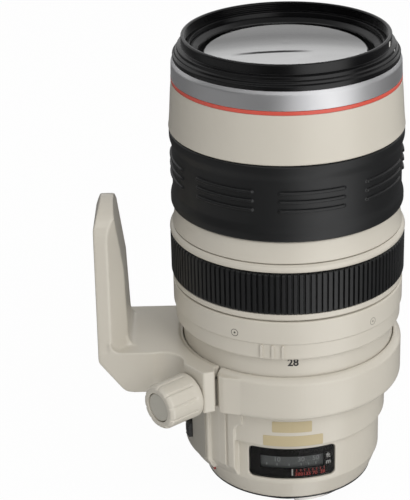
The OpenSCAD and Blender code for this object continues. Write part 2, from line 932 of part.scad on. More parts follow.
module foot() {
    difference() {
        on_sole(0) linear_extrude(height = foot_root) polygon(foot_outline());
        // Bevels along the straight sides
        for (s = [-1, 1]) {
            translate([sole_x + foot_edge, s * foot_half, foot_z]) rotate([s * foot_slant, 0, 0])
                translate([0, 0, -foot_half]) linear_extrude(height = foot_top)
                    polygon([[0, 0], [bevel_d, -s * bevel_d], [bevel_d, s * bevel_d],
                        [0, s * bevel_d]]);
        }
        // Taper of the inner face and slope of the sole at the tip
        across_foot([[sole_x + foot_root, arm_top], [sole_x + foot_root - 0.8, belly_z],
            [sole_x + foot_tip, foot_top], [sole_x + foot_tip, foot_top + 1], [sole_x + foot_root + 1, foot_top + 1],
            [sole_x + foot_root + 1, arm_top]]);
        across_foot([[sole_x - 1, tip_slope_z], [sole_x, tip_slope_z], [sole_x + tip_slope, foot_top],
            [sole_x + tip_slope, foot_top + 1], [sole_x - 1, foot_top + 1]]);
    }
    inner_fillet(foot_edge, foot_half);
    inner_fillet(foot_root, foot_half - foot_root + foot_edge);
}

module tripod_collar() {
    color(paint) difference() {
        union() {
            collar_arc(hinge_az + 2.5, lug_to + 360);
            arm();
            foot();
            knuckle(knuckle_low, gate_z - run_gap, 0);
            knuckle(gate_z + knuckle_h + run_gap, knuckle_top, 0);
        }
        knuckle(gate_z - run_gap, gate_z + knuckle_h + run_gap, run_gap);
        pin_hole();
        arc_block(collar_in - 1, pocket_r, tongue_z - slide_gap, tongue_z + tongue_h + slide_gap,
            tongue_end - 1.5, lug_to + 1);
        radial_pin(knob_az, knob_z, pocket_r - 1, lug_reach + 5, screw_r + fit_gap);
        translate([sole_x - 1, 0, bush_z]) rotate([0, 90, 0])
            cylinder(r = bush_r + fit_gap, h = bush_len + 1);
    }
}

module tripod_bush() {
    color(steel) translate([sole_x + 0.1, 0, bush_z]) rotate([0, 90, 0]) difference() {
        cylinder(r = bush_r, h = bush_len - 0.2);
        translate([0, 0, -1]) cylinder(r = tripod_r, h = bush_len + 2);
    }
}

module hinge_pin() {
    color(steel) at_hinge() translate([0, 0, knuckle_low])
        cylinder(r = pin_r, h = knuckle_top - knuckle_low, $fn = 48);
}

screw_tip_r = 2.5;
fork_half = screw_tip_r + 0.4;
gate_from = split_az + split_gap / 2;

boss_r = collar_out + 1.8;
boss_x = polar(collar_out - 0.5, lug_to)[0] + 1.1;

// The gate's end, thicker beside the lug's bar and running out along the gate
module gate_boss() {
    translate([0, 0, collar_z + 0.8]) linear_extrude(height = collar_len - 2.8)
        polygon([polar(collar_out - 1, gate_from + 0.3), polar(boss_r, asin(boss_x / boss_r)),
            polar(boss_r, gate_from + 5.5), polar(collar_out + 0.9, gate_from + 9),
            polar(collar_out + 0.1, gate_from + 13), polar(collar_out - 1, gate_from + 14)]);
}

module collar_gate() {
    color(paint) difference() {
        union() {
            collar_arc(gate_from, hinge_az - 2.5);
            gate_boss();
            arc_block(tongue_in, tongue_in + tongue_t, tongue_z, tongue_z + tongue_h,
                tongue_end, gate_from + 2);
            knuckle(gate_z, gate_z + knuckle_h, 0);
        }
        knuckle(collar_z - 1, gate_z, run_gap);
        knuckle(gate_z + knuckle_h, collar_top + 1, run_gap);
        pin_hole();
        radial_pin(knob_az, knob_z, collar_in - 1, pocket_r + 1, fork_half);
        arc_block(tongue_in - 1, pocket_r + 1, knob_z - fork_half + 0.1, knob_z + fork_half - 0.1,
            tongue_end - 2, knob_az);
    }
}

knob_seat = lug_reach + 0.5;
knob_end = knob_seat + knob_len;
knob_round = 1.4;
cap_t = 0.8;
cap_sink = 0.4;
flute_r = 3.6;
screw_depth = 6;
screw_tip = groove_r + 0.3;
screw_shoulder = tongue_in + tongue_t + 0.4;

// The knob's turned blank along +Z
module knob_blank() {
    rotate_extrude() polygon(concat([[0, 0]], [[knob_r - 1, 0], [knob_r, 1]],
        arc([knob_r - knob_round, knob_len - knob_round], knob_round, 0, 90),
        [[0, knob_len]]));
}

module lock_knob() {
    color(paint) radial(knob_az, knob_z, knob_seat) difference() {
        knob_blank();
        for (i = [0:flute_count - 1]) {
            rotate([0, 0, i * 360 / flute_count])
                translate([knob_r + flute_r - flute_depth, 0, 2.2])
                    cylinder(r = flute_r, h = knob_len, $fn = 32);
        }
        translate([0, 0, knob_len - cap_t - cap_sink]) cylinder(r = cap_r + fit_gap, h = knob_len);
        translate([0, 0, -1]) cylinder(r = screw_r, h = screw_depth + 1, $fn = 48);
    }
}

module knob_cap() {
    color([0.60, 0.59, 0.56]) radial(knob_az, knob_z, knob_end - cap_t - cap_sink)
        cylinder(r = cap_r, h = cap_t);
}

module lock_screw() {
    color(steel) {
        radial_pin(knob_az, knob_z, screw_shoulder, knob_seat + screw_depth, screw_r);
        radial_pin(knob_az, knob_z, screw_tip, screw_shoulder + 1, screw_tip_r);
    }
}

// Zoom unit: two tubes joined at the front, with the fixed barrel between them

module zoom_tube() {
    color(black) {
        ring(zoom_in, zoom_out, tube_z, accent_z);
        for (a = thirds) {
            rotate([0, 0, roller_az + a])
                translate([-key_w / 2, -zoom_out - key_rise + pin_gap, tube_z])
                    cube([key_w, key_rise, 8]);
        }
    }
}

module zoom_rollers() {
    color(steel) intersection() {
        union() {
            for (a = thirds) radial_pin(roller_az + a, roller_z, cam_in + 0.2, zoom_out, roller_r);
        }
        translate([0, 0, tube_z]) cylinder(r = zoom_in - fit_gap, h = roller_lift + 2 * roller_r);
    }
}

module grip_tube() {
    color(black) ring(grip_in, grip_out, sleeve_z + 1, web_z);
}

module brake_band() {
    color("ivory") ring(barrel_r + fit_gap, grip_in, sleeve_z + 2, tension_z - 2);
}

nib_az = [-15.2, -9.7, -4.8];
nib_half = 0.75;
nib_len = 4.6;
nib_top = index_z - 0.8;

module index_sleeve() {
    color(paint) {
        turned([[grip_in, sleeve_z], [core_r + lip_rise - 0.8, sleeve_z], [core_r + lip_rise, sleeve_z + 0.8],
            [core_r + lip_rise, index_z - 0.5], [sleeve_r, index_z], [sleeve_r, tension_z - 0.4],
            [sleeve_r - 0.4, tension_z], [grip_out, tension_z], [grip_out, sleeve_z + 1],
            [grip_in, sleeve_z + 1]]);
        for (a = nib_az) {
            arc_block(core_r, sleeve_r - 0.1, nib_top - nib_len, nib_top, a - nib_half, a + nib_half);
        }
    }
}

module tension_ring() {
    low = tension_z + run_gap;
    high = skirt_z - run_gap;
    edge = 0.8;
    color(paint) turned(concat([[ring_in, low], [sleeve_r - edge, low], [sleeve_r, low + edge],
        [sleeve_r, ribs_z], [core_r, ribs_z], [core_r, bead_z]],
        [[core_r + bead_rise - 0.3, bead_z]],
        arc([core_r + bead_rise - 1.6, bead_z + 1.6], 1.6, -20, 60),
        [[core_r + sleeve_rise - 0.6, high], [ring_in, high]]));
}

// Ribbed rubber: flat-topped ribs from a formula
module tension_grip() {
    root = core_r + ribs_rise - rib_depth;
    top = core_r + ribs_rise;
    pitch = 360 / rib_count;
    rib = [[-0.42, root], [-0.24, top], [0.24, top], [0.42, root]];
    color(rubber) difference() {
        translate([0, 0, ribs_z]) linear_extrude(height = ribs_len)
            polygon([for (i = [0:rib_count - 1]) for (k = rib)
                let (a = (i + k[0]) * pitch) [k[1] * sin(a), -k[1] * cos(a)]]);
        translate([0, 0, ribs_z - 1]) cylinder(r = core_r, h = ribs_len + 2);
    }
}

module grip_skirt() {
    waist = core_r + skirt_waist;
    color(paint) turned([[grip_out, skirt_z], [core_r + skirt_rise - 0.4, skirt_z],
        [core_r + skirt_rise, skirt_z + 0.4], [core_r + skirt_rise - 0.35, skirt_z + skirt_len * 0.2],
        [waist + 0.2, skirt_z + skirt_len * 0.42], [waist, skirt_z + skirt_len * 0.6],
        [waist, focus_z - 0.4], [waist - 0.4, focus_z], [grip_out, focus_z]]);
}

module focus_sleeve() {
    color(black) ring(ring_in, core_r, focus_z + run_gap, front_z - run_gap);
}

bar_az = 11;

module focus_grip() {
    low = focus_z + run_gap;
    high = front_z - run_gap;
    full = core_r + grip_rise;
    waist = core_r + waist_rise;
    mid = (low + high) / 2 + 0.85;
    shoulder = 4.6;
    slope = 4;
    round = 1.2;
    color(rubber) {
        turned(concat([[core_r, low]], arc([full - round, low + round], round, -90, 0, 4),
            [[full, low + shoulder - slope / 2], [waist, low + shoulder + slope / 2],
                [waist, high - shoulder - slope / 2], [full, high - shoulder + slope / 2]],
            arc([full - round / 2, high - round / 2], round / 2, 0, 90, 4), [[core_r, high]]));
        for (g = [0:bar_groups - 1]) for (k = [-1:1]) {
            a = bar_az + g * 360 / bar_groups;
            rotate([0, 0, a - bar_angle / 2 - 90]) rotate_extrude(angle = bar_angle)
                translate([waist, mid + k * bar_pitch])
                    polygon([[-0.2, -bar_w / 2], [0, -bar_w / 2], [bar_rise, -bar_w * 0.2],
                        [bar_rise, bar_w * 0.2], [0, bar_w / 2], [-0.2, bar_w / 2]]);
        }
    }
}

module front_barrel() {
    flare = core_r + flare_rise;
    color(paint) turned([[zoom_out, web_z], [grip_out, web_z], [grip_out, front_z],
        [flare - 0.5, front_z], [flare, front_z + 0.5], [core_r + 1.3, front_z + front_len * 0.12],
        [core_r + 1, front_z + front_len * 0.3], [core_r + 0.7, front_z + front_len * 0.55],
        [core_r + 0.4, front_z + front_len * 0.8], [core_r, accent_z], [zoom_out, accent_z]]);
}

ring_seat_r = core_r - 2.3;

module accent_ring() {
    color("indianred") ring(ring_seat_r, core_r, accent_z, name_z);
}

module name_ring() {
    bevel = 1.5;
    color("silver") turned([[ring_seat_r, name_z], [core_r, name_z], [core_r - 0.2, filter_z - bevel],
        [core_r - 0.9, filter_z], [ring_seat_r, filter_z]]);
}

// Lens cell that carries the front glass
glass_r = filter_r - glass_step;
glass_z = rim_z - glass_depth;
glass_t = 5;
retain_in = glass_r;
glass_out = glass_r + 1;
cell_bore = glass_out + fit_gap;
inner_glass_r = glass_r - 2;
inner_glass_drop = 6;
inner_glass_z = accent_z - inner_glass_drop;

module front_cell() {
    low_out = zoom_in - fit_gap;
    high_out = ring_seat_r - fit_gap;
    inner_bore = inner_glass_r + fit_gap;
    color(black) turned([[inner_glass_r - 2, inner_glass_z - 2], [low_out, inner_glass_z - 2],
        [low_out, accent_z], [high_out, accent_z], [high_out, filter_z], [cell_bore, filter_z],
        [cell_bore, glass_z - glass_t], [inner_bore, glass_z - glass_t],
        [inner_bore, inner_glass_z], [inner_glass_r - 2, inner_glass_z]]);
}

module inner_front_lens() {
    color(glass) lens_element(inner_glass_r, inner_glass_z, 4, 150);
}

module front_lens() {
    color(glass) lens_element(glass_out, glass_z - glass_t, glass_t - 0.2, glass_curve);
}

seat_r = retain_in + 3.2;

module lens_retainer() {
    color(black) turned([[retain_in, glass_z + 0.1], [seat_r - fit_gap, glass_z + 0.1],
        [seat_r - fit_gap, glass_z + 1.6], [seat_r - 1, glass_z + 1.6], [retain_in + 0.3, glass_z + 0.5]]);
}

// Front ring: filter thread inside, stepped hood seat outside
module filter_ring() {
    base = core_r - 0.9;
    thread_z = rim_z - 0.4 - filter_thread_len;
    rim = filter_r + rim_wall;
    color(black) turned([[cell_bore, filter_z], [base, filter_z], [base + 0.1, filter_z + 1.6],
        [base - 0.7, filter_z + 2.3], [base - 0.9, filter_z + 3], [base - 1.7, filter_z + 3.4],
        [base - 1.7, filter_z + 4.6], [rim, filter_z + 5], [rim, rim_z - 0.4], [rim - 0.4, rim_z],
        [filter_r + 0.4, rim_z], [filter_r, rim_z - 0.4], [filter_r, thread_z], [seat_r, thread_z],
        [seat_r, glass_z + 0.1], [cell_bore, glass_z + 0.1]]);
}

mount_flange();
mount_screws();
mount_gasket();
rear_baffle();
rear_lens();
contact_block();
contact_pins();
mount_index();
rear_barrel();
distance_window();
switch_plate();
circuit_board();
rear_sleeve();
motor_stator();
motor_rotor();
distance_scale();
focus_cell();
focus_lens();
af_switch();
stabilizer_switch();
mode_switch();
fixed_barrel();
guide_tube();
cam_tube();
variator_cell();
variator_lens();
relay_cell();
relay_lens();
stabilizer_frame();
stabilizer_lens();
iris_housing();
iris_ring();
tripod_collar();
tripod_bush();
hinge_pin();
collar_gate();
lock_knob();
knob_cap();
lock_screw();
zoom_tube();
zoom_rollers();
grip_tube();
brake_band();
index_sleeve();
tension_ring();
tension_grip();
grip_skirt();
focus_sleeve();
focus_grip();
front_barrel();
accent_ring();
name_ring();
front_cell();
inner_front_lens();
front_lens();
lens_retainer();
filter_ring();
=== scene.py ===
"""A push-pull camera zoom lens with a white enamelled body and a tripod collar, dressed for pictures."""
import math

import bmesh
import bpy
from mathutils import Matrix, Vector


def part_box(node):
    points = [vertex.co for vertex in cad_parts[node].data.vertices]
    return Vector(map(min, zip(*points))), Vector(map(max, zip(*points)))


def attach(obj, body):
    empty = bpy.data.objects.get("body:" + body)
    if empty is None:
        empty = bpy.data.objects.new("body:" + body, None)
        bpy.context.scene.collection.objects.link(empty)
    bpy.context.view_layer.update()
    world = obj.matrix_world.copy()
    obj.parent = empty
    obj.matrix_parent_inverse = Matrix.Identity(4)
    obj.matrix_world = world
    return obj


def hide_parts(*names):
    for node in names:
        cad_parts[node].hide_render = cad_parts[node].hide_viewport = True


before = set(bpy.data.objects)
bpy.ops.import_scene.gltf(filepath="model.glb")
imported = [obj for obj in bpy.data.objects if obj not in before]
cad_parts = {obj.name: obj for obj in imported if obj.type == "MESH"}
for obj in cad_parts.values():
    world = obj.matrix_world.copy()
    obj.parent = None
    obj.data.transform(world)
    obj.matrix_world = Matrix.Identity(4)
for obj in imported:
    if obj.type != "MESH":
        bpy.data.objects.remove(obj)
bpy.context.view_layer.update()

MM = 0.001
camera_place = Vector((-26.6, -628.5, 382.15)) * MM
camera_pitch = math.radians(24.57)
camera_yaw = math.radians(-0.54)
camera_roll = math.radians(-1.56)
camera_focal = 125.8
camera_sensor = 36

camera = bpy.data.objects.new("camera", bpy.data.cameras.new("camera"))
bpy.context.scene.collection.objects.link(camera)
camera.data.lens = camera_focal
camera.data.sensor_width = camera_sensor
level_aim = Vector((math.sin(camera_yaw), math.cos(camera_yaw), 0))
aim = level_aim * math.cos(camera_pitch) - Vector((0, 0, math.sin(camera_pitch)))
level_right = Vector((math.cos(camera_yaw), -math.sin(camera_yaw), 0))
level_up = level_right.cross(aim)
right = level_right * math.cos(camera_roll) + level_up * math.sin(camera_roll)
up = level_up * math.cos(camera_roll) - level_right * math.sin(camera_roll)
camera.matrix_world = Matrix.Translation(camera_place) @ Matrix((right, up, -aim)).transposed().to_4x4()
bpy.context.scene.camera = camera

# Studio
# A white sweep under soft light that is strongest from the front right and above, with two
# softboxes. Gloss and glass mirror a room of panels with a graded wall behind the table.
bpy.context.scene.view_settings.view_transform = "Standard"


def tone(red, green, blue):
    """The shader colour of a colour as it is seen, each part from 0 to 255."""
    def linear(value):
        share = value / 255
        return share / 12.92 if share <= 0.04045 else ((share + 0.055) / 1.055) ** 2.4
    return linear(red), linear(green), linear(blue), 1.0


def node(tree, kind, inputs=None, **settings):
    """A shader node with its settings made and its inputs linked or set."""
    made = tree.nodes.new("ShaderNode" + kind)
    for key, value in settings.items():
        setattr(made, key, value)
    for key, value in (inputs or {}).items():
        if isinstance(value, bpy.types.NodeSocket):
            tree.links.new(value, made.inputs[key])
        else:
            made.inputs[key].default_value = value
    return made


light_azimuth = math.radians(36)
light_height = math.radians(22)
light_level = 0.385
light_slope = 0.6
light_least = 0.03
light_colour = (1.0, 0.99, 0.975, 1.0)
plain_white = (1.0, 1.0, 1.0, 1.0)

world = bpy.data.worlds.new("studio")
bpy.context.scene.world = world
world.use_nodes = True
world.cycles.sampling_method = "NONE"
sky = world.node_tree
sky.nodes.clear()
strongest = (math.sin(light_azimuth) * math.cos(light_height),
             -math.cos(light_azimuth) * math.cos(light_height), math.sin(light_height))
direction = node(sky, "TexCoord").outputs["Generated"]
towards = node(sky, "VectorMath", {0: direction, 1: strongest}, operation="DOT_PRODUCT")
graded = node(sky, "Math", {0: towards.outputs["Value"], 1: light_slope, 2: light_level},
              operation="MULTIPLY_ADD")
soft = node(sky, "Math", {0: graded.outputs[0], 1: light_least}, operation="MAXIMUM")
lighting = node(sky, "Background", {"Color": light_colour, "Strength": soft.outputs[0]})
sweep = node(sky, "Background", {"Color": plain_white, "Strength": 1.0})


def panel_seen(azimuth, outer, inner, strength):
    """Strength of an upright soft panel in one direction, fading out between two half angles."""
    turn = math.radians(azimuth)
    level = node(sky, "VectorMath", {0: direction, 1: (1.0, 1.0, 0.0)}, operation="MULTIPLY")
    way = node(sky, "VectorMath", {0: level.outputs[0]}, operation="NORMALIZE")
    nearness = node(sky, "VectorMath", {0: way.outputs[0], 1: (math.sin(turn), -math.cos(turn), 0.0)},
                    operation="DOT_PRODUCT")
    return node(sky, "MapRange", {"Value": nearness.outputs["Value"], 1: math.cos(math.radians(outer)),
                                  2: math.cos(math.radians(inner)), 3: 0.0, 4: strength},
                interpolation_type="SMOOTHSTEP").outputs[0]


rise = node(sky, "SeparateXYZ", {0: direction}).outputs["Z"]


def at_height(start, end, strength):
    """A strength that comes in between two heights of the direction looked in."""
    return node(sky, "MapRange", {"Value": rise, 1: start, 2: end, 3: 0.0, 4: strength}).outputs[0]


def combined(operation, *strengths):
    """Strengths added, multiplied or compared, one after the other."""
    result = strengths[0]
    for strength in strengths[1:]:
        result = node(sky, "Math", {0: result, 1: strength}, operation=operation).outputs[0]
    return result


key_panel = combined("MULTIPLY", panel_seen(azimuth=38, outer=37, inner=12, strength=1.65),
                     at_height(start=0.75, end=0.5, strength=1.0))
table_bounce = combined("MULTIPLY", panel_seen(azimuth=-70, outer=50, inner=8, strength=0.34),
                        at_height(start=0.0, end=-0.3, strength=1.0))
top_band = combined("ADD", at_height(start=0.5, end=0.72, strength=1.6),
                    at_height(start=0.8, end=0.88, strength=-1.6))
top_panel = combined("MULTIPLY", panel_seen(azimuth=0, outer=110, inner=60, strength=1.0), top_band)

wall_foot = 0.05
wall_top = 0.2
wall_tones = [(0.03, 0.05), (0.06, 0.9), (0.176, 0.9), (0.2, 0.95), (0.255, 0.86), (0.29, 0.66),
              (0.36, 0.49), (0.395, 0.48), (0.43, 0.56), (0.5, 0.7), (0.7, 0.8), (0.85, 0.25)]
wall = node(sky, "ValToRGB", {0: rise})
wall.color_ramp.elements[0].color = (wall_foot, wall_foot, wall_foot, 1.0)
wall.color_ramp.elements[1].color = (wall_top, wall_top, wall_top, 1.0)
for height, strength in wall_tones:
    stop = wall.color_ramp.elements.new(height)
    stop.color = (strength, strength, strength, 1.0)
slit_band = combined("ADD", at_height(start=0.196, end=0.202, strength=1.0),
                     at_height(start=0.214, end=0.221, strength=-1.0))
slit = combined("MULTIPLY", panel_seen(azimuth=179.6, outer=2.8, inner=0.4, strength=0.92), slit_band)
back_wall = combined("MULTIPLY", panel_seen(azimuth=180, outer=95, inner=60, strength=1.0),
                     combined("SUBTRACT", wall.outputs[0], slit))

room_least = 0.06
glass_dimming = 0.9
rays = node(sky, "LightPath")
in_glass = rays.outputs["Is Transmission Ray"]
mirrored = combined("ADD", key_panel, table_bounce, back_wall, top_panel, room_least)
dimmed = node(sky, "Math", {0: in_glass, 1: -glass_dimming, 2: 1.0}, operation="MULTIPLY_ADD")
room = node(sky, "Background", {"Color": plain_white,
                                "Strength": combined("MULTIPLY", mirrored, dimmed.outputs[0])})
first_bounce = combined("LESS_THAN", rays.outputs["Diffuse Depth"], 0.5)
in_gloss = combined("MULTIPLY", combined("MAXIMUM", rays.outputs["Is Glossy Ray"], in_glass), first_bounce)
indirect = node(sky, "MixShader", {0: in_gloss, 1: lighting.outputs[0], 2: room.outputs[0]})
seen = node(sky, "MixShader", {0: rays.outputs["Is Camera Ray"], 1: indirect.outputs[0],
                               2: sweep.outputs[0]})
sky.links.new(seen.outputs[0], node(sky, "OutputWorld").inputs[0])


def softbox(name, width, height, watts, place, aim_height):
    """A rectangular lamp that points at a height on the lens axis and isn't mirrored."""
    lamp = bpy.data.objects.new(name, bpy.data.lights.new(name, "AREA"))
    bpy.context.scene.collection.objects.link(lamp)
    lamp.data.shape = "RECTANGLE"
    lamp.data.size = width
    lamp.data.size_y = height
    lamp.data.energy = watts
    lamp.location = place
    lamp.visible_transmission = False
    lamp.visible_glossy = False
    lamp.rotation_euler = (Vector((0, 0, aim_height)) - lamp.location).to_track_quat("-Z", "Y").to_euler()


softbox("softbox", width=0.7, height=0.4, watts=0.9, place=(0.05, 0.22, 0.85), aim_height=0.16)
softbox("key", width=0.3, height=0.6, watts=2.0, place=(0.35, -0.62, 0.55), aim_height=0.1)


def placed(name, mesh):
    """A new object that holds a mesh."""
    made = bpy.data.objects.new(name, mesh)
    bpy.context.scene.collection.objects.link(made)
    return made


floor_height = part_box("mount_flange")[0].z
floor_half = 3.0
paper_tone = 0.92
paper_glow_share = 0.97
floor_mesh = bpy.data.meshes.new("floor")
floor_mesh.from_pydata([(x * floor_half, y * floor_half, floor_height)
                        for x, y in ((-1, -1), (1, -1), (1, 1), (-1, 1))], [], [(0, 1, 2, 3)])
floor = placed("floor", floor_mesh)
paper = bpy.data.materials.new("white_paper")
paper.use_nodes = True
paper_tree = paper.node_tree
paper_skin = paper_tree.nodes["Principled BSDF"]
paper_skin.inputs["Base Color"].default_value = (paper_tone, paper_tone, paper_tone, 1.0)
paper_skin.inputs["Roughness"].default_value = 0.9
paper_skin.inputs["Specular IOR Level"].default_value = 0.0
paper_glow = node(paper_tree, "Emission", {"Color": plain_white, "Strength": 1.0})
paper_seen = node(paper_tree, "LightPath").outputs["Is Camera Ray"]
paper_share = node(paper_tree, "Math", {0: paper_seen, 1: paper_glow_share}, operation="MULTIPLY")
paper_mix = node(paper_tree, "MixShader", {0: paper_share.outputs[0], 1: paper_skin.outputs[0],
                                           2: paper_glow.outputs[0]})
paper_tree.links.new(paper_mix.outputs[0], paper_tree.nodes["Material Output"].inputs["Surface"])
floor.data.materials.append(paper)
floor.visible_glossy = False

# Lens mount
# A bayonet flange turned from stainless steel with three tabs, held by four countersunk
# cross-head screws. A rubber gasket seals it, and a black baffle frames the rear glass.


def new_group(name, inputs, outputs):
    """An empty shader node group with named sockets, and its two ends."""
    group = bpy.data.node_groups.new(name, "ShaderNodeTree")
    for label, start in inputs:
        socket = group.interface.new_socket(name=label, in_out="INPUT", socket_type="NodeSocketFloat")
        socket.default_value = start
    for label in outputs:
        group.interface.new_socket(name=label, in_out="OUTPUT", socket_type="NodeSocketFloat")
    return group, group.nodes.new("NodeGroupInput"), group.nodes.new("NodeGroupOutput")


def turning_lines_group():
    """Fine tool marks that run round the lens axis."""
    group, given, result = new_group("turning_lines", [("Fineness", 2500.0)], ["Height", "Patches"])
    place = node(group, "TexCoord").outputs["Object"]
    flat = node(group, "VectorMath", {0: place, 1: (1.0, 1.0, 0.0)}, operation="MULTIPLY")
    radius = node(group, "VectorMath", {0: flat.outputs[0]}, operation="LENGTH")
    height = node(group, "SeparateXYZ", {0: place}).outputs["Z"]
    across = node(group, "CombineXYZ", {"X": radius.outputs["Value"], "Y": height})
    marks = node(group, "TexNoise", {"Vector": across.outputs[0], "Scale": given.outputs["Fineness"],
                                     "Detail": 3.0})
    patches = node(group, "TexNoise", {"Vector": place, "Scale": 60.0, "Detail": 3.0})
    group.links.new(marks.outputs["Fac"], result.inputs["Height"])
    group.links.new(patches.outputs["Fac"], result.inputs["Patches"])
    return group


def fine_grain_group():
    """The close, even grain of a sprayed, moulded or blasted skin, with soft patches of handling."""
    group, given, result = new_group("fine_grain", [("Fineness", 1500.0)], ["Height", "Patches"])
    place = node(group, "TexCoord").outputs["Object"]
    grain = node(group, "TexNoise", {"Vector": place, "Scale": given.outputs["Fineness"], "Detail": 2.0})
    patches = node(group, "TexNoise", {"Vector": place, "Scale": 45.0, "Detail": 4.0, "Roughness": 0.6})
    group.links.new(grain.outputs["Fac"], result.inputs["Height"])
    group.links.new(patches.outputs["Fac"], result.inputs["Patches"])
    return group


def wear_highlight_dust_shade_group():
    """Masks for convex edges and concave corners: a lighter edge is a painted highlight, a darker edge
    wear, a paler corner dust and a darker corner painted shade.
    """
    group, given, result = new_group("wear_highlight_dust_shade", [("Edge", 0.3), ("Dust_and_shade_share", 0.3)], ["Wear_and_highlight", "Dust_and_shade"])
    bend = node(group, "NewGeometry").outputs["Pointiness"]
    place = node(group, "TexCoord").outputs["Object"]
    broken = node(group, "TexNoise", {"Vector": place, "Scale": 350.0, "Detail": 5.0})
    # Convex edges get lighter tones as a painted highlight; concave corners get darker tones as painted
    # shade on light finishes and pale dust on dark ones.
    outer = node(group, "MapRange", {"Value": bend, 1: 0.52, 2: 0.62, 3: 0.0, 4: 1.0})
    inner = node(group, "MapRange", {"Value": bend, 1: 0.48, 2: 0.40, 3: 0.0, 4: 1.0})
    for mask, amount, label in ((outer, "Edge", "Wear_and_highlight"), (inner, "Dust_and_shade_share", "Dust_and_shade")):
        ragged = node(group, "Math", {0: mask.outputs[0], 1: broken.outputs["Fac"]}, operation="MULTIPLY")
        share = node(group, "Math", {0: ragged.outputs[0], 1: given.outputs[amount]}, operation="MULTIPLY")
        group.links.new(share.outputs[0], result.inputs[label])
    return group


turning_lines = turning_lines_group()
fine_grain = fine_grain_group()
wear_highlight_dust_shade = wear_highlight_dust_shade_group()


def finish(name, colour, patch, rough, skin=fine_grain, fineness=1500.0, depth=0.01, metallic=0.0,
           edge_wear_and_highlight=None, dust_and_hollow_shade=None, sockets=None):
    """A surface of two close shades in patches with a skin texture; lighter edges are a painted highlight
    and darker ones wear, paler corners are dust and darker ones painted shade.
    """
    made = bpy.data.materials.new(name)
    made.use_nodes = True
    tree = made.node_tree
    shader = tree.nodes["Principled BSDF"]
    texture = tree.nodes.new("ShaderNodeGroup")
    texture.node_tree = skin
    texture.inputs["Fineness"].default_value = fineness
    shade = node(tree, "Mix", {0: texture.outputs["Patches"], 6: tone(*colour), 7: tone(*patch)},
                 data_type="RGBA").outputs[2]
    # Edge tones lighten convex edges as a painted highlight; corner tones darken concave corners as painted
    # shade on light finishes.
    if edge_wear_and_highlight or dust_and_hollow_shade:
        edges = tree.nodes.new("ShaderNodeGroup")
        edges.node_tree = wear_highlight_dust_shade
        for mask, over in (("Wear_and_highlight", edge_wear_and_highlight), ("Dust_and_shade", dust_and_hollow_shade)):
            if over:
                shade = node(tree, "Mix", {0: edges.outputs[mask], 6: shade, 7: tone(*over)},
                             data_type="RGBA").outputs[2]
    tree.links.new(shade, shader.inputs["Base Color"])
    gloss = node(tree, "MapRange", {"Value": texture.outputs["Patches"], 1: 0.3, 2: 0.7,
                                    3: rough[0], 4: rough[1]})
    tree.links.new(gloss.outputs[0], shader.inputs["Roughness"])
    if depth:
        relief = node(tree, "Bump", {"Strength": 1.0, "Distance": depth * MM,
                                     "Height": texture.outputs["Height"]})
        tree.links.new(relief.outputs[0], shader.inputs["Normal"])
    shader.inputs["Metallic"].default_value = metallic
    for label, value in (sockets or {}).items():
        shader.inputs[label].default_value = value
    return made


def dress(material, *nodes):
    """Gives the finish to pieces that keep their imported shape."""
    for name in nodes:
        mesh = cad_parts[name].data
        mesh.materials.clear()
        mesh.materials.append(material)


stainless = finish("stainless_steel", (186, 184, 180), (168, 166, 163), (0.24, 0.36), turning_lines,
                   2600.0, 0.006, 1.0)
dress(stainless, "mount_flange")
gasket_rubber = finish("gasket_rubber", (34, 34, 35), (28, 28, 29), (0.6, 0.75), fine_grain, 2200.0, 0.02,
                       dust_and_hollow_shade=(80, 78, 74))
dress(gasket_rubber, "mount_gasket")
baffle_plastic = finish("baffle_plastic", (26, 26, 27), (20, 20, 21), (0.5, 0.65), fine_grain, 1800.0, 0.02)
dress(baffle_plastic, "rear_baffle", "contact_block")
contact_gold = finish("contact_gold", (214, 178, 104), (200, 160, 90), (0.2, 0.32), fine_grain, 3000.0,
                      0.004, 1.0)
dress(contact_gold, "contact_pins")
coated_glass = finish("coated_glass", (18, 20, 26), (14, 18, 20), (0.02, 0.05), fine_grain, 300.0, 0.0005,
                      sockets={"IOR": 1.75, "Coat Weight": 0.8, "Coat IOR": 1.7,
                               "Specular Tint": (0.75, 0.9, 1.0, 1.0)})
dress(coated_glass, "rear_lens")


def at(radius, azimuth, height):
    """A point of the lens, from millimetres and degrees. Azimuth 0 faces the window's side."""
    turn = math.radians(azimuth)
    return Vector((radius * math.sin(turn), -radius * math.cos(turn), height)) * MM


def built(name, points, faces, crease=32):
    """A closed mesh with even shading on its flats and clean creases."""
    mesh = bpy.data.meshes.new(name)
    mesh.from_pydata(points, [], faces)
    form = bmesh.new()
    form.from_mesh(mesh)
    bmesh.ops.remove_doubles(form, verts=form.verts, dist=1e-7)
    bmesh.ops.recalc_face_normals(form, faces=form.faces)
    form.to_mesh(mesh)
    form.free()
    mesh.shade_smooth()
    mesh.set_sharp_from_angle(angle=math.radians(crease))
    made = placed(name, mesh)
    made.modifiers.new("even_shading", "WEIGHTED_NORMAL").keep_sharp = True
    return made


def fitted(piece, material, body, slot, *nodes):
    """Puts the finish on a piece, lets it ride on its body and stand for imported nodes."""
    piece.data.materials.append(material)
    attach(piece, body)
    if nodes:
        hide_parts(*nodes)
    return piece


def ring_faces(rings, width, closed):
    """Quads between neighbouring rings of points, all of one width."""
    faces = []
    for i in range(rings if closed else rings - 1):
        here = i * width
        following = (i + 1) % rings * width
        for j in range(width):
            k = (j + 1) % width
            faces.append((here + j, following + j, following + k, here + k))
    return faces


screw_circle = 29.2
screw_head = 1.9
screw_sink = 0.3
screw_height = 1.2
screw_edge = 0.15
cross_half = 0.28
cross_reach = 1.15
cross_depth = 0.7


def screw_face(distance, azimuth):
    """Height of a countersunk head's face below the flange, with its cross recess."""
    turn = math.radians(azimuth)
    x = abs(distance * math.sin(turn))
    y = abs(distance * math.cos(turn))
    in_cross = min(x, y) < cross_half and max(x, y) < cross_reach
    return screw_sink + (cross_depth if in_cross else 0.0)


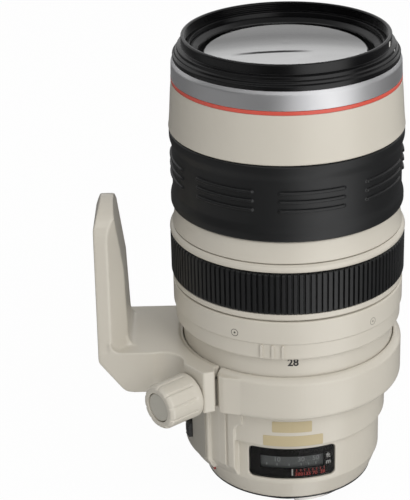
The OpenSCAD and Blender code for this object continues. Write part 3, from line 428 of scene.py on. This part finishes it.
screw_rings = [0.0, 0.2, 0.27, 0.29, 0.4, 0.6, 0.8, 1.0, 1.14, 1.16, 1.4, 1.7]
screw_steel = finish("screw_steel", (150, 148, 145), (135, 133, 130), (0.28, 0.4), fine_grain, 2600.0,
                     0.006, 1.0)
screw_points = []
screw_faces = []
screw_steps = 48
for quarter in range(4):
    centre = at(screw_circle, 90 * quarter, 0)
    columns = []
    for step in range(screw_steps):
        azimuth = 360 * step / screw_steps
        face = [at(r, azimuth, screw_face(r, azimuth)) for r in screw_rings]
        side = [at(screw_head, azimuth, screw_sink + screw_edge),
                at(screw_head, azimuth, screw_sink + screw_height),
                at(0.0, azimuth, screw_sink + screw_height)]
        columns += [centre + point for point in face + side]
    width = len(screw_rings) + len(side)
    start = len(screw_points)
    screw_points += columns
    screw_faces += [tuple(start + i for i in quad) for quad in ring_faces(screw_steps, width, True)]
fitted(built("mount_screw_heads", screw_points, screw_faces), screw_steel, "base", "steel", "mount_screws")

index_red = finish("index_red", (176, 44, 38), (160, 36, 32), (0.16, 0.28), fine_grain, 1200.0, 0.004)
dress(index_red, "mount_index")

# Rear barrel
# A light alloy casting in warm white enamel with a raised panel and a switch housing on one
# side and an opening for the distance window in front. Its edges are rounded by the casting.
enamel_light = (209, 204, 192)
enamel_deep = (203, 197, 185)
# Convex edges are lightened as a painted highlight and concave corners darkened as painted shade.
enamel = finish("white_enamel", enamel_light, enamel_deep, (0.3, 0.38), fine_grain, 1300.0, 0.006,
                edge_wear_and_highlight=(220, 216, 206), dust_and_hollow_shade=(160, 152, 138),
                sockets={"Coat Weight": 0.2, "Coat Roughness": 0.12})


def softened(name, voxel, passes):
    """Rounds the edges of a cast piece as the fillets of its mould do."""
    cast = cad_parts[name]
    cast.modifiers.new("joined", "WELD").merge_threshold = 1e-6
    skin = cast.modifiers.new("skin", "REMESH")
    skin.mode = "VOXEL"
    skin.voxel_size = voxel * MM
    skin.use_smooth_shade = True
    fillets = cast.modifiers.new("fillets", "SMOOTH")
    fillets.factor = 0.5
    fillets.iterations = passes


dress(enamel, "rear_barrel")
softened("rear_barrel", voxel=0.35, passes=4)

# Distance window
# A smoked, moulded pane over a black mask with an opening, behind which the printed distance
# drum turns. The index line and the small red numbers are printed on the mask.
pane_radius = 36.6
pane_thick = 0.8
pane_half = 27.4
pane_low = 11.15
pane_high = 24.25
pane_corner = 2.0
mask_radius = 35.6
mask_thick = 0.3
strip_half = 20.6
strip_low = 15.1
strip_high = 20.5


def curved_plate(radius, thick, left, right, low, high, corner=0.0, soft=0.08, steps=40):
    """Points and faces of a plate bent round the axis, with rounded corners and soft rims."""
    span = math.radians(right - left) * radius
    corner_steps = 6
    ends = [0.0]
    if corner:
        ends = [corner * (1 - math.cos(math.pi / 2 * i / corner_steps)) for i in range(corner_steps)]
    inner = [corner + (span - 2 * corner) * i / steps for i in range(steps + 1)]
    along = ends + inner + [span - x for x in reversed(ends)]
    points = []
    for x in along:
        azimuth = left + math.degrees(x / radius)
        edge = min(x, span - x)
        inset = corner - math.sqrt(max(0.0, corner ** 2 - (corner - edge) ** 2)) if edge < corner else 0.0
        bottom = low + inset
        top = high - inset
        outline = [(radius - thick, bottom), (radius - soft, bottom), (radius, bottom + soft),
                   (radius, top - soft), (radius - soft, top), (radius - thick, top)]
        points += [at(r, azimuth, z) for r, z in outline]
    width = len(outline)
    last = (len(along) - 1) * width
    faces = ring_faces(len(along), width, False)
    faces += [tuple(range(width)), tuple(range(last, last + width))]
    return points, faces


def joined(*parts):
    """Several sets of points and faces as one."""
    points = []
    faces = []
    for more_points, more_faces in parts:
        faces += [tuple(len(points) + i for i in face) for face in more_faces]
        points += more_points
    return points, faces


smoked = finish("smoked_pane", (235, 235, 235), (225, 225, 225), (0.02, 0.06), fine_grain, 300.0, 0.0005,
                sockets={"Transmission Weight": 1.0, "IOR": 1.15})
fitted(built("window_pane", *curved_plate(pane_radius, pane_thick, -pane_half, pane_half, pane_low,
                                          pane_high, pane_corner)),
       smoked, "base", "clear_plastic", "distance_window")
mask_black = finish("mask_black", (34, 33, 33), (30, 29, 29), (0.6, 0.7), fine_grain, 900.0, 0.004,
                    sockets={"Specular IOR Level": 0.2})
mask_parts = [(-pane_half, -strip_half, pane_low, pane_high),
              (strip_half, pane_half, pane_low, pane_high),
              (-strip_half, strip_half, pane_low, strip_low),
              (-strip_half, strip_half, strip_high, pane_high)]
mask_plates = [curved_plate(mask_radius, mask_thick, *part) for part in mask_parts]
fitted(built("window_mask", *joined(*mask_plates)), mask_black, "base", "black_plastic")
drum_grey = finish("drum_grey", (122, 126, 126), (112, 116, 116), (0.4, 0.5), fine_grain, 900.0, 0.006)
dress(drum_grey, "distance_scale")

capital_share = 0.7
letter_half = 0.02
letter_lift = 0.03
tick_lift = 0.06
tick_thick = 0.1


def wrapped_text(label, height, radius, azimuth, middle, bold=0.0):
    """Points and faces of a thin printed number that lies on a round surface."""
    letters = bpy.data.curves.new("letters", "FONT")
    letters.body = label
    letters.size = height / capital_share
    letters.align_x = "CENTER"
    letters.align_y = "CENTER"
    letters.extrude = letter_half
    letters.offset = bold
    letters.resolution_u = 3
    sample = placed("letters", letters)
    bpy.context.view_layer.update()
    flat = bpy.data.meshes.new_from_object(sample.evaluated_get(bpy.context.evaluated_depsgraph_get()))
    points = [at(radius + letter_lift + v.co.z, azimuth + math.degrees(v.co.x / radius), middle + v.co.y)
              for v in flat.vertices]
    faces = [tuple(face.vertices) for face in flat.polygons]
    bpy.data.objects.remove(sample)
    bpy.data.meshes.remove(flat)
    return points, faces


def tick(radius, azimuth, half, low, high):
    """Points and faces of a thin printed stroke that runs up a round surface."""
    return curved_plate(radius + tick_lift, tick_thick, azimuth - half, azimuth + half, low, high,
                        soft=0.01, steps=2)


def ink(name, colour, patch, rough=(0.4, 0.5)):
    """A thin and even layer of print or paint."""
    return finish(name, colour, patch, rough, fine_grain, 1500.0, 0.003)


print_white = ink("print_white", (235, 235, 232), (226, 226, 222))
print_pale = ink("print_pale", (176, 180, 178), (168, 172, 170))
print_red = ink("print_red", (230, 84, 76), (218, 74, 66))
unit_size = 2.0
unit_azimuth = 23.8
units = [wrapped_text(label, unit_size, mask_radius, unit_azimuth, middle, bold=0.06)
         for label, middle in (("ft", 19.2), ("m", 16.4))]
index_line = tick(mask_radius, 0.0, half=0.45, low=11.9, high=14.9)
fitted(built("window_index", *joined(index_line, *units)), print_white, "base", "clear_plastic")
red_size = 1.5
red_height = 12.4
red_first = 4.2
red_pitch = 5.2
reds = [wrapped_text(label, red_size, mask_radius, red_first + red_pitch * i, red_height, bold=0.02)
        for i, label in enumerate(("300", "135", "70", "28"))]
red_tick_first = 2.75
red_tick_pitch = 2.6
red_ticks = [tick(mask_radius, red_tick_first + red_tick_pitch * i, half=0.25, low=13.7, high=14.7)
             for i in range(8)]
fitted(built("window_red_numbers", *joined(*reds, *red_ticks)), print_red, "base", "red_plastic")
drum_radius = 34.2
drum_size = 2.0
drum_height = 18.3
drum_scale = (("3", -36), ("5", -24), ("10", -10), ("30", 6), ("50", 16), ("70", 28))
distances = [wrapped_text(label, drum_size, drum_radius, azimuth, drum_height, bold=0.03)
             for label, azimuth in drum_scale]
distance_ticks = [tick(drum_radius, azimuth, half=0.4, low=15.6, high=16.5)
                  for azimuth in (-36, -24, -17, -10, -2, 6, 11, 16, 22, 28)]
fitted(built("drum_numbers", *joined(*distances, *distance_ticks)),
       print_pale, "scale_drum", "grey_plastic")

# Name plates
# Two thin foil plates in pale tan, one over the other above the window, stuck on the barrel
# and left bare.
tan_foil = finish("tan_foil", (196, 182, 148), (190, 176, 142), (0.35, 0.5), fine_grain, 1200.0, 0.006,
                  edge_wear_and_highlight=(176, 156, 112))
foil_radius = 39.3
foil_thick = 0.3
foil_corner = 0.4
for title, left, right_end, low, high in (("upper", -11.7, 11.2, 33.5, 38.4),
                                          ("lower", -17.0, 17.8, 27.3, 32.0)):
    foil = curved_plate(foil_radius, foil_thick, left, right_end, low, high, foil_corner)
    fitted(built("name_plate_" + title, *foil), tan_foil, "base", "paint")

# Switches
# A grey moulded plate on the housing with three black slide switches in its slots. A small
# printed mark stands above and below each slide.
# Concave corners of the plate are darkened as painted shade.
switch_grey = finish("switch_grey", (172, 168, 159), (164, 160, 151), (0.42, 0.52), fine_grain, 1400.0,
                     0.012, dust_and_hollow_shade=(110, 106, 98))
dress(switch_grey, "switch_plate")
# Edges of the slides are lightened as a painted highlight.
slide_black = finish("slide_black", (34, 34, 35), (28, 28, 29), (0.45, 0.55), fine_grain, 1600.0, 0.012,
                     edge_wear_and_highlight=(70, 70, 70))
slides = ("af_switch", "stabilizer_switch", "mode_switch")
slide_edge = 0.25
dress(slide_black, *slides)
for name in slides:
    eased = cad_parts[name].modifiers.new("eased", "BEVEL")
    eased.width = slide_edge * MM
    eased.segments = 2
    eased.limit_method = "ANGLE"
    eased.angle_limit = math.radians(40)
print_dark = ink("print_dark", (44, 43, 42), (38, 37, 36), (0.45, 0.55))
plate_face = 41.95
switch_mark_size = 1.7
switch_mark_above = 31.2
switch_mark_below = 15.9
switch_marks = []
for azimuth, top, bottom in ((-105, "A", "M"), (-88, "ON", "OFF"), (-71, "1", "2")):
    switch_marks.append(wrapped_text(top, switch_mark_size, plate_face, azimuth, switch_mark_above))
    switch_marks.append(wrapped_text(bottom, switch_mark_size, plate_face, azimuth, switch_mark_below))
fitted(built("switch_marks", *joined(*switch_marks)), print_dark, "base", "grey_plastic")

# Focus drive
# Under the rear barrel sit the ring motor with its stator and rotor on an alloy sleeve, the
# circuit board and the cell that carries the focus glass.
inner_black = finish("inner_black", (24, 24, 25), (18, 18, 19), (0.4, 0.55), turning_lines, 2000.0, 0.008)
raw_alloy = finish("raw_alloy", (190, 190, 188), (172, 172, 170), (0.3, 0.42), turning_lines, 2200.0,
                   0.008, 1.0)
motor_bronze = finish("motor_bronze", (176, 134, 84), (158, 118, 72), (0.28, 0.42), turning_lines, 2400.0,
                      0.008, 1.0)
board_green = finish("board_green", (24, 78, 48), (18, 64, 40), (0.3, 0.45), fine_grain, 900.0, 0.01)
dress(raw_alloy, "rear_sleeve", "motor_rotor")
dress(motor_bronze, "motor_stator")
dress(board_green, "circuit_board")
dress(inner_black, "focus_cell")
dress(coated_glass, "focus_lens")

# Fixed barrel
# An enamelled alloy tube on which the zoom unit slides. The zoom numbers are printed up its
# front, so that the one under the sleeve's edge can be read.
tube_inside = 39.9
tube_radius = 41.9
tube_low = 41.5
tube_high = 152.0
rib_radius = 43.3
rib_low = 49.3
rib_high = 52.8


def rounded(corners, steps=5):
    """An outline of (radius, height, fillet) corners in which each fillet is a smooth curve."""
    outline = []
    for i, corner in enumerate(corners):
        here = Vector(corner[:2])
        if len(corner) < 3:
            outline.append(here)
            continue
        before = Vector(corners[i - 1][:2]) - here
        after = Vector(corners[(i + 1) % len(corners)][:2]) - here
        reach = min(corner[2], 0.49 * before.length, 0.49 * after.length)
        first = here + before.normalized() * reach
        last = here + after.normalized() * reach
        for k in range(steps + 1):
            t = k / steps
            outline.append(first * (1 - t) ** 2 + here * 2 * t * (1 - t) + last * t ** 2)
    return outline


def swept(name, azimuths, section, crease=32):
    """A closed ring whose outline may change round the axis."""
    points = []
    for azimuth in azimuths:
        outline = section(azimuth)
        points += [at(r, azimuth, z) for r, z in outline]
    return built(name, points, ring_faces(len(azimuths), len(outline), True), crease)


def evenly(count):
    """Azimuths at equal steps round the axis."""
    return [360 * i / count for i in range(count)]


def turned(name, corners, steps=256, crease=32):
    """A ring turned on a lathe from an outline with filleted corners."""
    outline = rounded(corners)
    return swept(name, evenly(steps), lambda azimuth: outline, crease)


fitted(turned("barrel_tube", [(tube_inside, tube_low), (tube_radius, tube_low), (tube_radius, rib_low, 0.3),
                              (rib_radius, rib_low, 0.2), (rib_radius, rib_high, 0.2),
                              (tube_radius, rib_high, 0.3), (tube_radius, tube_high, 0.3),
                              (tube_inside, tube_high)]),
       enamel, "base", "paint", "fixed_barrel")
zoom_number_size = 3.0
zoom_number_azimuth = 0.3
zoom_scale = [("28", 65.9), ("35", 74.5), ("50", 86.5), ("70", 97.5), ("100", 107.5), ("135", 116.5),
              ("200", 126.5), ("300", 134.5)]
zoom_numbers = [wrapped_text(label, zoom_number_size, tube_radius, zoom_number_azimuth, height, bold=0.12)
                for label, height in zoom_scale]
fitted(built("zoom_numbers", *joined(*zoom_numbers)), print_dark, "base", "black_metal")

# Zoom drive
# A guide tube with straight slots and a cam tube with helical ones carry the variator, the
# relay cell with the iris and the stabiliser. All are turned from alloy and anodised black.
dress(inner_black, "guide_tube", "cam_tube", "variator_cell", "relay_cell", "iris_housing", "iris_ring",
      "stabilizer_frame")
dress(coated_glass, "variator_lens", "relay_lens", "stabilizer_lens")

# Tripod collar
# A cast alloy half ring with an arm, an upright foot and a clamp lug in the same enamel as
# the barrel. A threaded steel bush is pressed into the foot and a steel pin holds the gate.
dress(enamel, "tripod_collar")
softened("tripod_collar", voxel=0.4, passes=12)
dress(stainless, "tripod_bush", "hinge_pin")

# Collar gate
# The other half of the collar's ring, cast in the same alloy and enamelled. It swings on the
# hinge pin, and its forked tongue goes in under the clamp lug.
dress(enamel, "collar_gate")
softened("collar_gate", voxel=0.35, passes=10)

# Lock knob
# A moulded enamelled knob with fine grooves that clamps the gate by its steel screw. A
# smooth grey cap is pressed into its outer end.
knob_azimuth = -50.0
knob_height = 48.5
knob_seat = 51.8
knob_end = 67.8
knob_radius = 9.0
grooves = 10
groove_depth = 0.4
groove_half = 4.5
groove_start = 2.6
groove_run = 0.8
knob_bore = 2.4
knob_foot = 0.6
knob_draft = 0.1
nose_length = 1.3
nose_depth = 1.0
cap_radius = 5.6
cap_recess = 5.95
cap_floor = 1.6
cap_under = 1.5
cap_sunk = 0.4
knob_frame = Matrix.Translation((0, 0, knob_height * MM)) @ Matrix.Rotation(
    math.radians(knob_azimuth), 4, "Z") @ Matrix.Rotation(math.radians(90), 4, "X")


def knob_section(azimuth):
    """Outline of the knob in one direction, with a narrow groove at equal steps."""
    pitch = 360 / grooves
    away = abs((azimuth + pitch / 2) % pitch - pitch / 2) / groove_half
    hollow = knob_radius - knob_draft - groove_depth * max(0.0, 1 - away) ** 0.7
    start = knob_seat + groove_start
    return rounded([(knob_bore, knob_seat), (knob_radius - knob_foot, knob_seat, 0.3),
                    (knob_radius, knob_seat + knob_foot, 0.4), (knob_radius, start, 0.4),
                    (hollow, start + groove_run, 0.4), (hollow, knob_end - nose_length, 0.5),
                    (hollow - nose_depth, knob_end, 0.4), (cap_recess, knob_end, 0.15),
                    (cap_recess, knob_end - cap_floor), (knob_bore, knob_end - cap_floor)], steps=4)


knob_steps = 480
knob_body = swept("knob_body", evenly(knob_steps), knob_section, crease=60)
knob_body.data.transform(knob_frame)
fitted(knob_body, enamel, "knob", "paint", "lock_knob")
cap_grey = finish("cap_grey", (190, 187, 177), (184, 181, 170), (0.32, 0.42), fine_grain, 1500.0, 0.006)
knob_face = turned("knob_face", [(0.0, knob_end - cap_under), (cap_radius, knob_end - cap_under),
                                 (cap_radius, knob_end - cap_sunk, 0.4), (0.0, knob_end - cap_sunk)],
                   steps=128)
knob_face.data.transform(knob_frame)
fitted(knob_face, cap_grey, "knob", "grey_plastic", "knob_cap")
dress(stainless, "lock_screw")

# Zoom tubes
# Inside the grips an inner tube with three bronze rollers runs in the cams and an outer tube
# carries the grips, with a felt band that gives the push-pull its drag.
dress(inner_black, "zoom_tube")
dress(raw_alloy, "grip_tube")
dress(motor_bronze, "zoom_rollers")
felt_grey = finish("felt_grey", (150, 147, 138), (132, 129, 121), (0.85, 0.95), fine_grain, 700.0, 0.08)
dress(felt_grey, "brake_band")

# Index sleeve
# The enamelled skirt at the zoom unit's lower edge, with a turned-in lip, three small raised
# ribs and two painted index marks, one dark and one faint.
sleeve_radius = 45.4
lip_radius = 44.7
fitted(turned("index_shell", [(42.3, 68.2), (43.9, 68.2, 0.5), (lip_radius, 69.0, 0.5),
                              (lip_radius, 75.0, 0.3), (sleeve_radius, 75.5, 0.3),
                              (sleeve_radius, 84.3, 0.3), (45.0, 84.7, 0.2), (42.9, 84.7), (42.9, 69.2),
                              (42.3, 69.2)]),
       enamel, "zoom_unit", "paint", "index_sleeve")
nib_radius = 45.5
nib_thick = 1.2
nib_half = 0.6
nib_low = 69.2
nib_high = 74.7
nibs = [curved_plate(nib_radius, nib_thick, azimuth - nib_half, azimuth + nib_half, nib_low, nib_high,
                     corner=0.3, soft=0.2, steps=4)
        for azimuth in (-15.2, -9.7, -4.8)]
fitted(built("index_ribs", *joined(*nibs)), enamel, "zoom_unit", "paint")

paint_thick = 0.04


def wrapped_disc(outer, hole, radius, azimuth, middle, steps=32):
    """Points and faces of a thin painted disc or ring on a round surface."""
    points = []
    for i in range(steps):
        turn = 2 * math.pi * i / steps
        for reach, lift in ((outer, 0.0), (outer, paint_thick), (hole, paint_thick), (hole, 0.0)):
            points.append(at(radius + lift, azimuth + math.degrees(reach * math.sin(turn) / radius),
                             middle + reach * math.cos(turn)))
    return points, ring_faces(steps, 4, True)


mark_height = 78.4
mark_outer = 1.5
mark_hole = 1.28
mark_dot = 0.4
mark_paint = ink("mark_paint", (92, 89, 84), (84, 81, 77), (0.45, 0.55))
faint_paint = ink("faint_paint", (150, 146, 137), (144, 140, 131), (0.45, 0.55))
for title, azimuth, paint in (("set", -28.7, mark_paint), ("free", 43.3, faint_paint)):
    mark = joined(wrapped_disc(mark_outer, mark_hole, sleeve_radius, azimuth, mark_height),
                  wrapped_disc(mark_dot, 0.0, sleeve_radius, azimuth, mark_height))
    fitted(built("index_mark_" + title, *mark), paint, "zoom_unit", "black_metal")

# Tension ring
# An enamelled ring that tightens the zoom, with a rolled bead above and a flange below a
# band of ribbed rubber.
bead_centre = (44.4, 106.4)
bead_radius = 1.6
bead = [(bead_centre[0] + bead_radius * math.cos(math.radians(a)),
         bead_centre[1] + bead_radius * math.sin(math.radians(a))) for a in range(-40, 70, 10)]
fitted(turned("tension_shell", [(43.2, 85.1), (44.6, 85.1, 0.2), (45.4, 85.8, 0.4), (45.4, 87.9, 0.2),
                                (43.8, 87.9), (43.8, 104.7), *bead, (44.8, 108.2, 0.1), (43.2, 108.2)]),
       enamel, "brake_ring", "paint", "tension_ring")
# Rib crests and bar edges are lightened as a painted highlight, and pale dust lightens the hollows.
rubber = finish("moulded_rubber", (15, 16, 17), (13, 14, 15), (0.44, 0.52), fine_grain, 2600.0, 0.012,
                edge_wear_and_highlight=(40, 40, 40), dust_and_hollow_shade=(20, 20, 20), sockets={"Specular IOR Level": 0.5})
rib_count = 130
rib_inside = 43.85
rib_low_edge = 87.95
rib_high_edge = 104.65
rib_root = 45.05
rib_top = 45.9
rib_half_share = 0.40
rib_flank_share = 0.12


def rib_section(azimuth):
    """Outline of the rubber band in one direction, thicker on a rib than between two ribs."""
    share = azimuth * rib_count / 360 % 1
    flank = min(1.0, max(0.0, (rib_half_share - abs(share - 0.5)) / rib_flank_share))
    proud = (rib_top - rib_root) * flank * flank * (3 - 2 * flank)
    edge = [(rib_root - 0.2, 0.0), (rib_root + 0.3 * proud, 0.15), (rib_root + 0.8 * proud, 0.5),
            (rib_root + proud, 1.1)]
    lower = [(radius, rib_low_edge + inset) for radius, inset in edge]
    upper = [(radius, rib_high_edge - inset) for radius, inset in reversed(edge)]
    return [(rib_inside, rib_low_edge), *lower, *upper, (rib_inside, rib_high_edge)]


rib_steps = 14
fitted(swept("ribbed_rubber", evenly(rib_count * rib_steps), rib_section, crease=50),
       rubber, "brake_ring", "rubber", "tension_grip")

# Skirt
# A ring with a hollow waist that covers the gap between the two grips. It is turned from
# alloy and enamelled, and slides with the zoom unit.
fitted(turned("skirt_shell", [(42.9, 108.5), (44.5, 108.5, 0.2), (44.9, 108.9, 0.3), (44.55, 110.2, 0.4),
                              (44.2, 112.1, 0.8), (44.0, 113.7, 0.8), (44.0, 116.7, 0.3),
                              (43.6, 117.1, 0.2), (42.9, 117.1)]),
       enamel, "zoom_unit", "paint", "grip_skirt")

# Focus ring
# A moulded rubber sleeve over a turning alloy ring. It has a hollow waist with eight groups
# of three raised bars for the fingers.
grip_low = 117.4
grip_high = 147.3
grip_full = 45.2
grip_waist = 44.35
grip_inside = 43.85
waist_low = 120.0
waist_high = 144.7
waist_slope = 4.0
rim_setback = 0.6
rim_round = 0.2
bar_heights = (129.65, 133.2, 136.75)
bar_half = 0.75
bar_rise = 0.8
bar_first = 10.0
bar_pitch = 45.0
bar_angle = 33.0


def grip_radius(height):
    """Radius of the rubber without its bars."""
    edge = min(height - waist_low, waist_high - height)
    share = min(1.0, max(0.0, edge / waist_slope))
    return grip_full - (grip_full - grip_waist) * share * share * (3 - 2 * share)


def bar_height(azimuth, height):
    """How far a bar with round ends rises at one place."""
    away = (azimuth - bar_first + bar_pitch / 2) % bar_pitch - bar_pitch / 2
    reach = math.radians(bar_angle / 2) * grip_waist - bar_half
    beyond = max(0.0, abs(math.radians(away) * grip_waist) - reach)
    nearest = min(abs(height - z) for z in bar_heights)
    distance = math.hypot(beyond, nearest) / bar_half
    return bar_rise * math.sqrt(1 - distance ** 2) if distance < 1 else 0.0


bar_steps = (-1.0, -0.97, -0.85, -0.6, -0.3, 0.0, 0.3, 0.6, 0.85, 0.97, 1.0)
bar_rows = [z + bar_half * step for z in bar_heights for step in bar_steps]
slope_steps = 8
slope_rows = [z + waist_slope * i / slope_steps for z in (waist_low, waist_high - waist_slope)
              for i in range(slope_steps + 1)]
grip_edge = 0.8
grip_rows = sorted(bar_rows + slope_rows + [grip_low + grip_edge, grip_high - grip_edge])


def grip_section(azimuth):
    """Outline of the focus rubber in one direction."""
    face = [(grip_radius(z) + bar_height(azimuth, z), z) for z in grip_rows]
    return [(grip_inside, grip_low), (grip_full - rim_setback, grip_low),
            (grip_full - rim_round, grip_low + rim_round), *face,
            (grip_full - rim_round, grip_high - rim_round),
            (grip_full - rim_setback, grip_high), (grip_inside, grip_high)]


grip_steps = 960
fitted(swept("focus_rubber", evenly(grip_steps), grip_section, crease=60),
       rubber, "focus_ring", "rubber", "focus_grip")
dress(raw_alloy, "focus_sleeve")

# Front barrel
# A ring with a hollow flare that leads from the focus grip to the front. It is turned from
# alloy and enamelled.
fitted(turned("front_shell", [(39.5, 154.0), (42.9, 154.0), (42.9, 147.6), (44.85, 147.6, 0.2),
                              (45.35, 148.1, 0.3), (45.1, 149.86, 0.8), (44.8, 153.24, 1.0),
                              (44.5, 157.94, 1.0), (44.2, 162.64, 1.0), (43.8, 166.4, 0.1),
                              (39.5, 166.4)]),
       enamel, "zoom_unit", "paint", "front_barrel")

# Accent ring
# A narrow turned ring in glossy red enamel, held between the front barrel and the bright
# ring.
accent_red = finish("accent_red", (216, 92, 78), (208, 84, 70), (0.2, 0.3), fine_grain, 1200.0, 0.004)
fitted(turned("red_ring", [(41.5, 166.45), (43.85, 166.45, 0.3), (43.85, 167.95, 0.3), (41.5, 167.95)]),
       accent_red, "zoom_unit", "red_plastic", "accent_ring")

# Bright ring
# An alloy ring with a bevel up to the filter ring. It is turned, satin anodised and left
# without paint.
satin_alloy = finish("satin_alloy", (216, 216, 217), (208, 208, 210), (0.46, 0.54), turning_lines,
                     2400.0, 0.008, 1.0)
fitted(turned("bright_ring", [(41.5, 168.05), (43.8, 168.05, 0.2), (43.6, 173.8, 0.5), (42.9, 175.25, 0.2),
                              (41.5, 175.25)]),
       satin_alloy, "zoom_unit", "aluminium", "name_ring")

# Front cell and glass
# A black anodised cell holds the big coated front glass and a second glass under it. A thin
# threaded ring clamps the front glass, which mirrors the room as its hollow inner faces do.
dress(inner_black, "front_cell")
deep_glass = finish("deep_glass", (10, 11, 13), (8, 9, 11), (0.1, 0.2), fine_grain, 300.0, 0.0005,
                    sockets={"Specular IOR Level": 0.1, "Specular Tint": (0.6, 0.8, 1.0, 1.0)})
dress(deep_glass, "inner_front_lens")
front_glass = finish("front_glass", (246, 250, 248), (240, 246, 244), (0.0, 0.02), fine_grain, 200.0,
                     depth=0.0, sockets={"Transmission Weight": 1.0, "IOR": 1.6, "Coat IOR": 2.2,
                                         "Coat Roughness": 0.01})
hollow_stretch = (0.5, 1.0, 0.0)
hollow_shift = (0.0065, 0.0, 0.0)
hollow_size = 0.19
slant_start = 0.2
slant_full = 0.45
glass_tree = front_glass.node_tree
glass_skin = glass_tree.nodes["Principled BSDF"]
glass_place = node(glass_tree, "TexCoord").outputs["Object"]
glass_level = node(glass_tree, "VectorMath", {0: glass_place, 1: hollow_stretch, 2: hollow_shift},
                   operation="MULTIPLY_ADD")
glass_reach = node(glass_tree, "VectorMath", {0: glass_level.outputs[0], 1: glass_level.outputs[0]},
                   operation="DOT_PRODUCT")
glass_hollow = node(glass_tree, "Math", {0: glass_reach.outputs["Value"], 1: hollow_size},
                    operation="DIVIDE")
glass_curve = node(glass_tree, "Bump", {"Strength": 1.0, "Distance": 1.0,
                                        "Height": glass_hollow.outputs[0]})
for label in ("Normal", "Coat Normal"):
    glass_tree.links.new(glass_curve.outputs[0], glass_skin.inputs[label])
slant = node(glass_tree, "LayerWeight", {"Blend": 0.5}).outputs["Facing"]
slanted_gloss = node(glass_tree, "MapRange", {"Value": slant, 1: slant_start, 2: slant_full,
                                              3: 0.0, 4: 1.0})
glass_tree.links.new(slanted_gloss.outputs[0], glass_skin.inputs["Coat Weight"])
dress(front_glass, "front_lens")
# Convex edges and rims are lightened as a painted highlight.
black_satin = finish("black_satin", (15, 15, 16), (12, 12, 13), (0.2, 0.3), turning_lines, 1800.0, 0.008,
                     edge_wear_and_highlight=(44, 44, 44), sockets={"Specular IOR Level": 0.35})
fitted(turned("glass_clamp", [(33.0, 177.1), (36.1, 177.1), (36.1, 178.6, 0.15), (35.2, 178.6, 0.2),
                              (33.3, 177.5, 0.1)]),
       black_satin, "zoom_unit", "black_metal", "lens_retainer")

# Filter ring
# A black anodised alloy ring in steps, with a screw thread for filters inside the rim and
# the seat of the hood outside, where two small white marks show the hood's place.
thread_low = 180.5
thread_pitch = 0.75
thread_minor = 38.1
thread_major = 38.55
thread_turns = 4
thread_lead = 0.08
groove_floor = (0.45, 0.55)
groove_close = 0.92
thread = []
for i in range(thread_turns):
    base = thread_low + thread_pitch * i
    thread += [(thread_minor, base + thread_lead), (thread_major, base + thread_pitch * groove_floor[0]),
               (thread_major, base + thread_pitch * groove_floor[1]),
               (thread_minor, base + thread_pitch * groove_close)]
fitted(turned("filter_rim", [(34.05, 175.3), (42.9, 175.3, 0.1), (43.0, 176.9, 0.3), (42.2, 177.6, 0.2),
                             (42.0, 178.3, 0.2), (41.2, 178.7, 0.2), (41.2, 179.9, 0.3), (39.6, 180.3, 0.2),
                             (39.6, 183.6, 0.3), (39.2, 184.0, 0.2), (38.5, 184.0, 0.2),
                             (thread_minor, 183.65, 0.1), *reversed(thread), (thread_minor, 180.4, 0.05),
                             (36.2, 180.4, 0.2), (36.2, 177.1), (34.05, 177.1)]),
       black_satin, "zoom_unit", "black_metal", "filter_ring")
hood_mark_thick = 0.2
hood_mark_places = ((39.66, 70.6, 72.6, 181.0, 183.0), (41.27, 72.8, 74.0, 179.0, 179.7))
hood_marks = [curved_plate(radius, hood_mark_thick, left, right_end, low, high, corner=0.2, soft=0.03,
                           steps=4)
              for radius, left, right_end, low, high in hood_mark_places]
fitted(built("hood_marks", *joined(*hood_marks)), print_white, "zoom_unit", "black_metal")
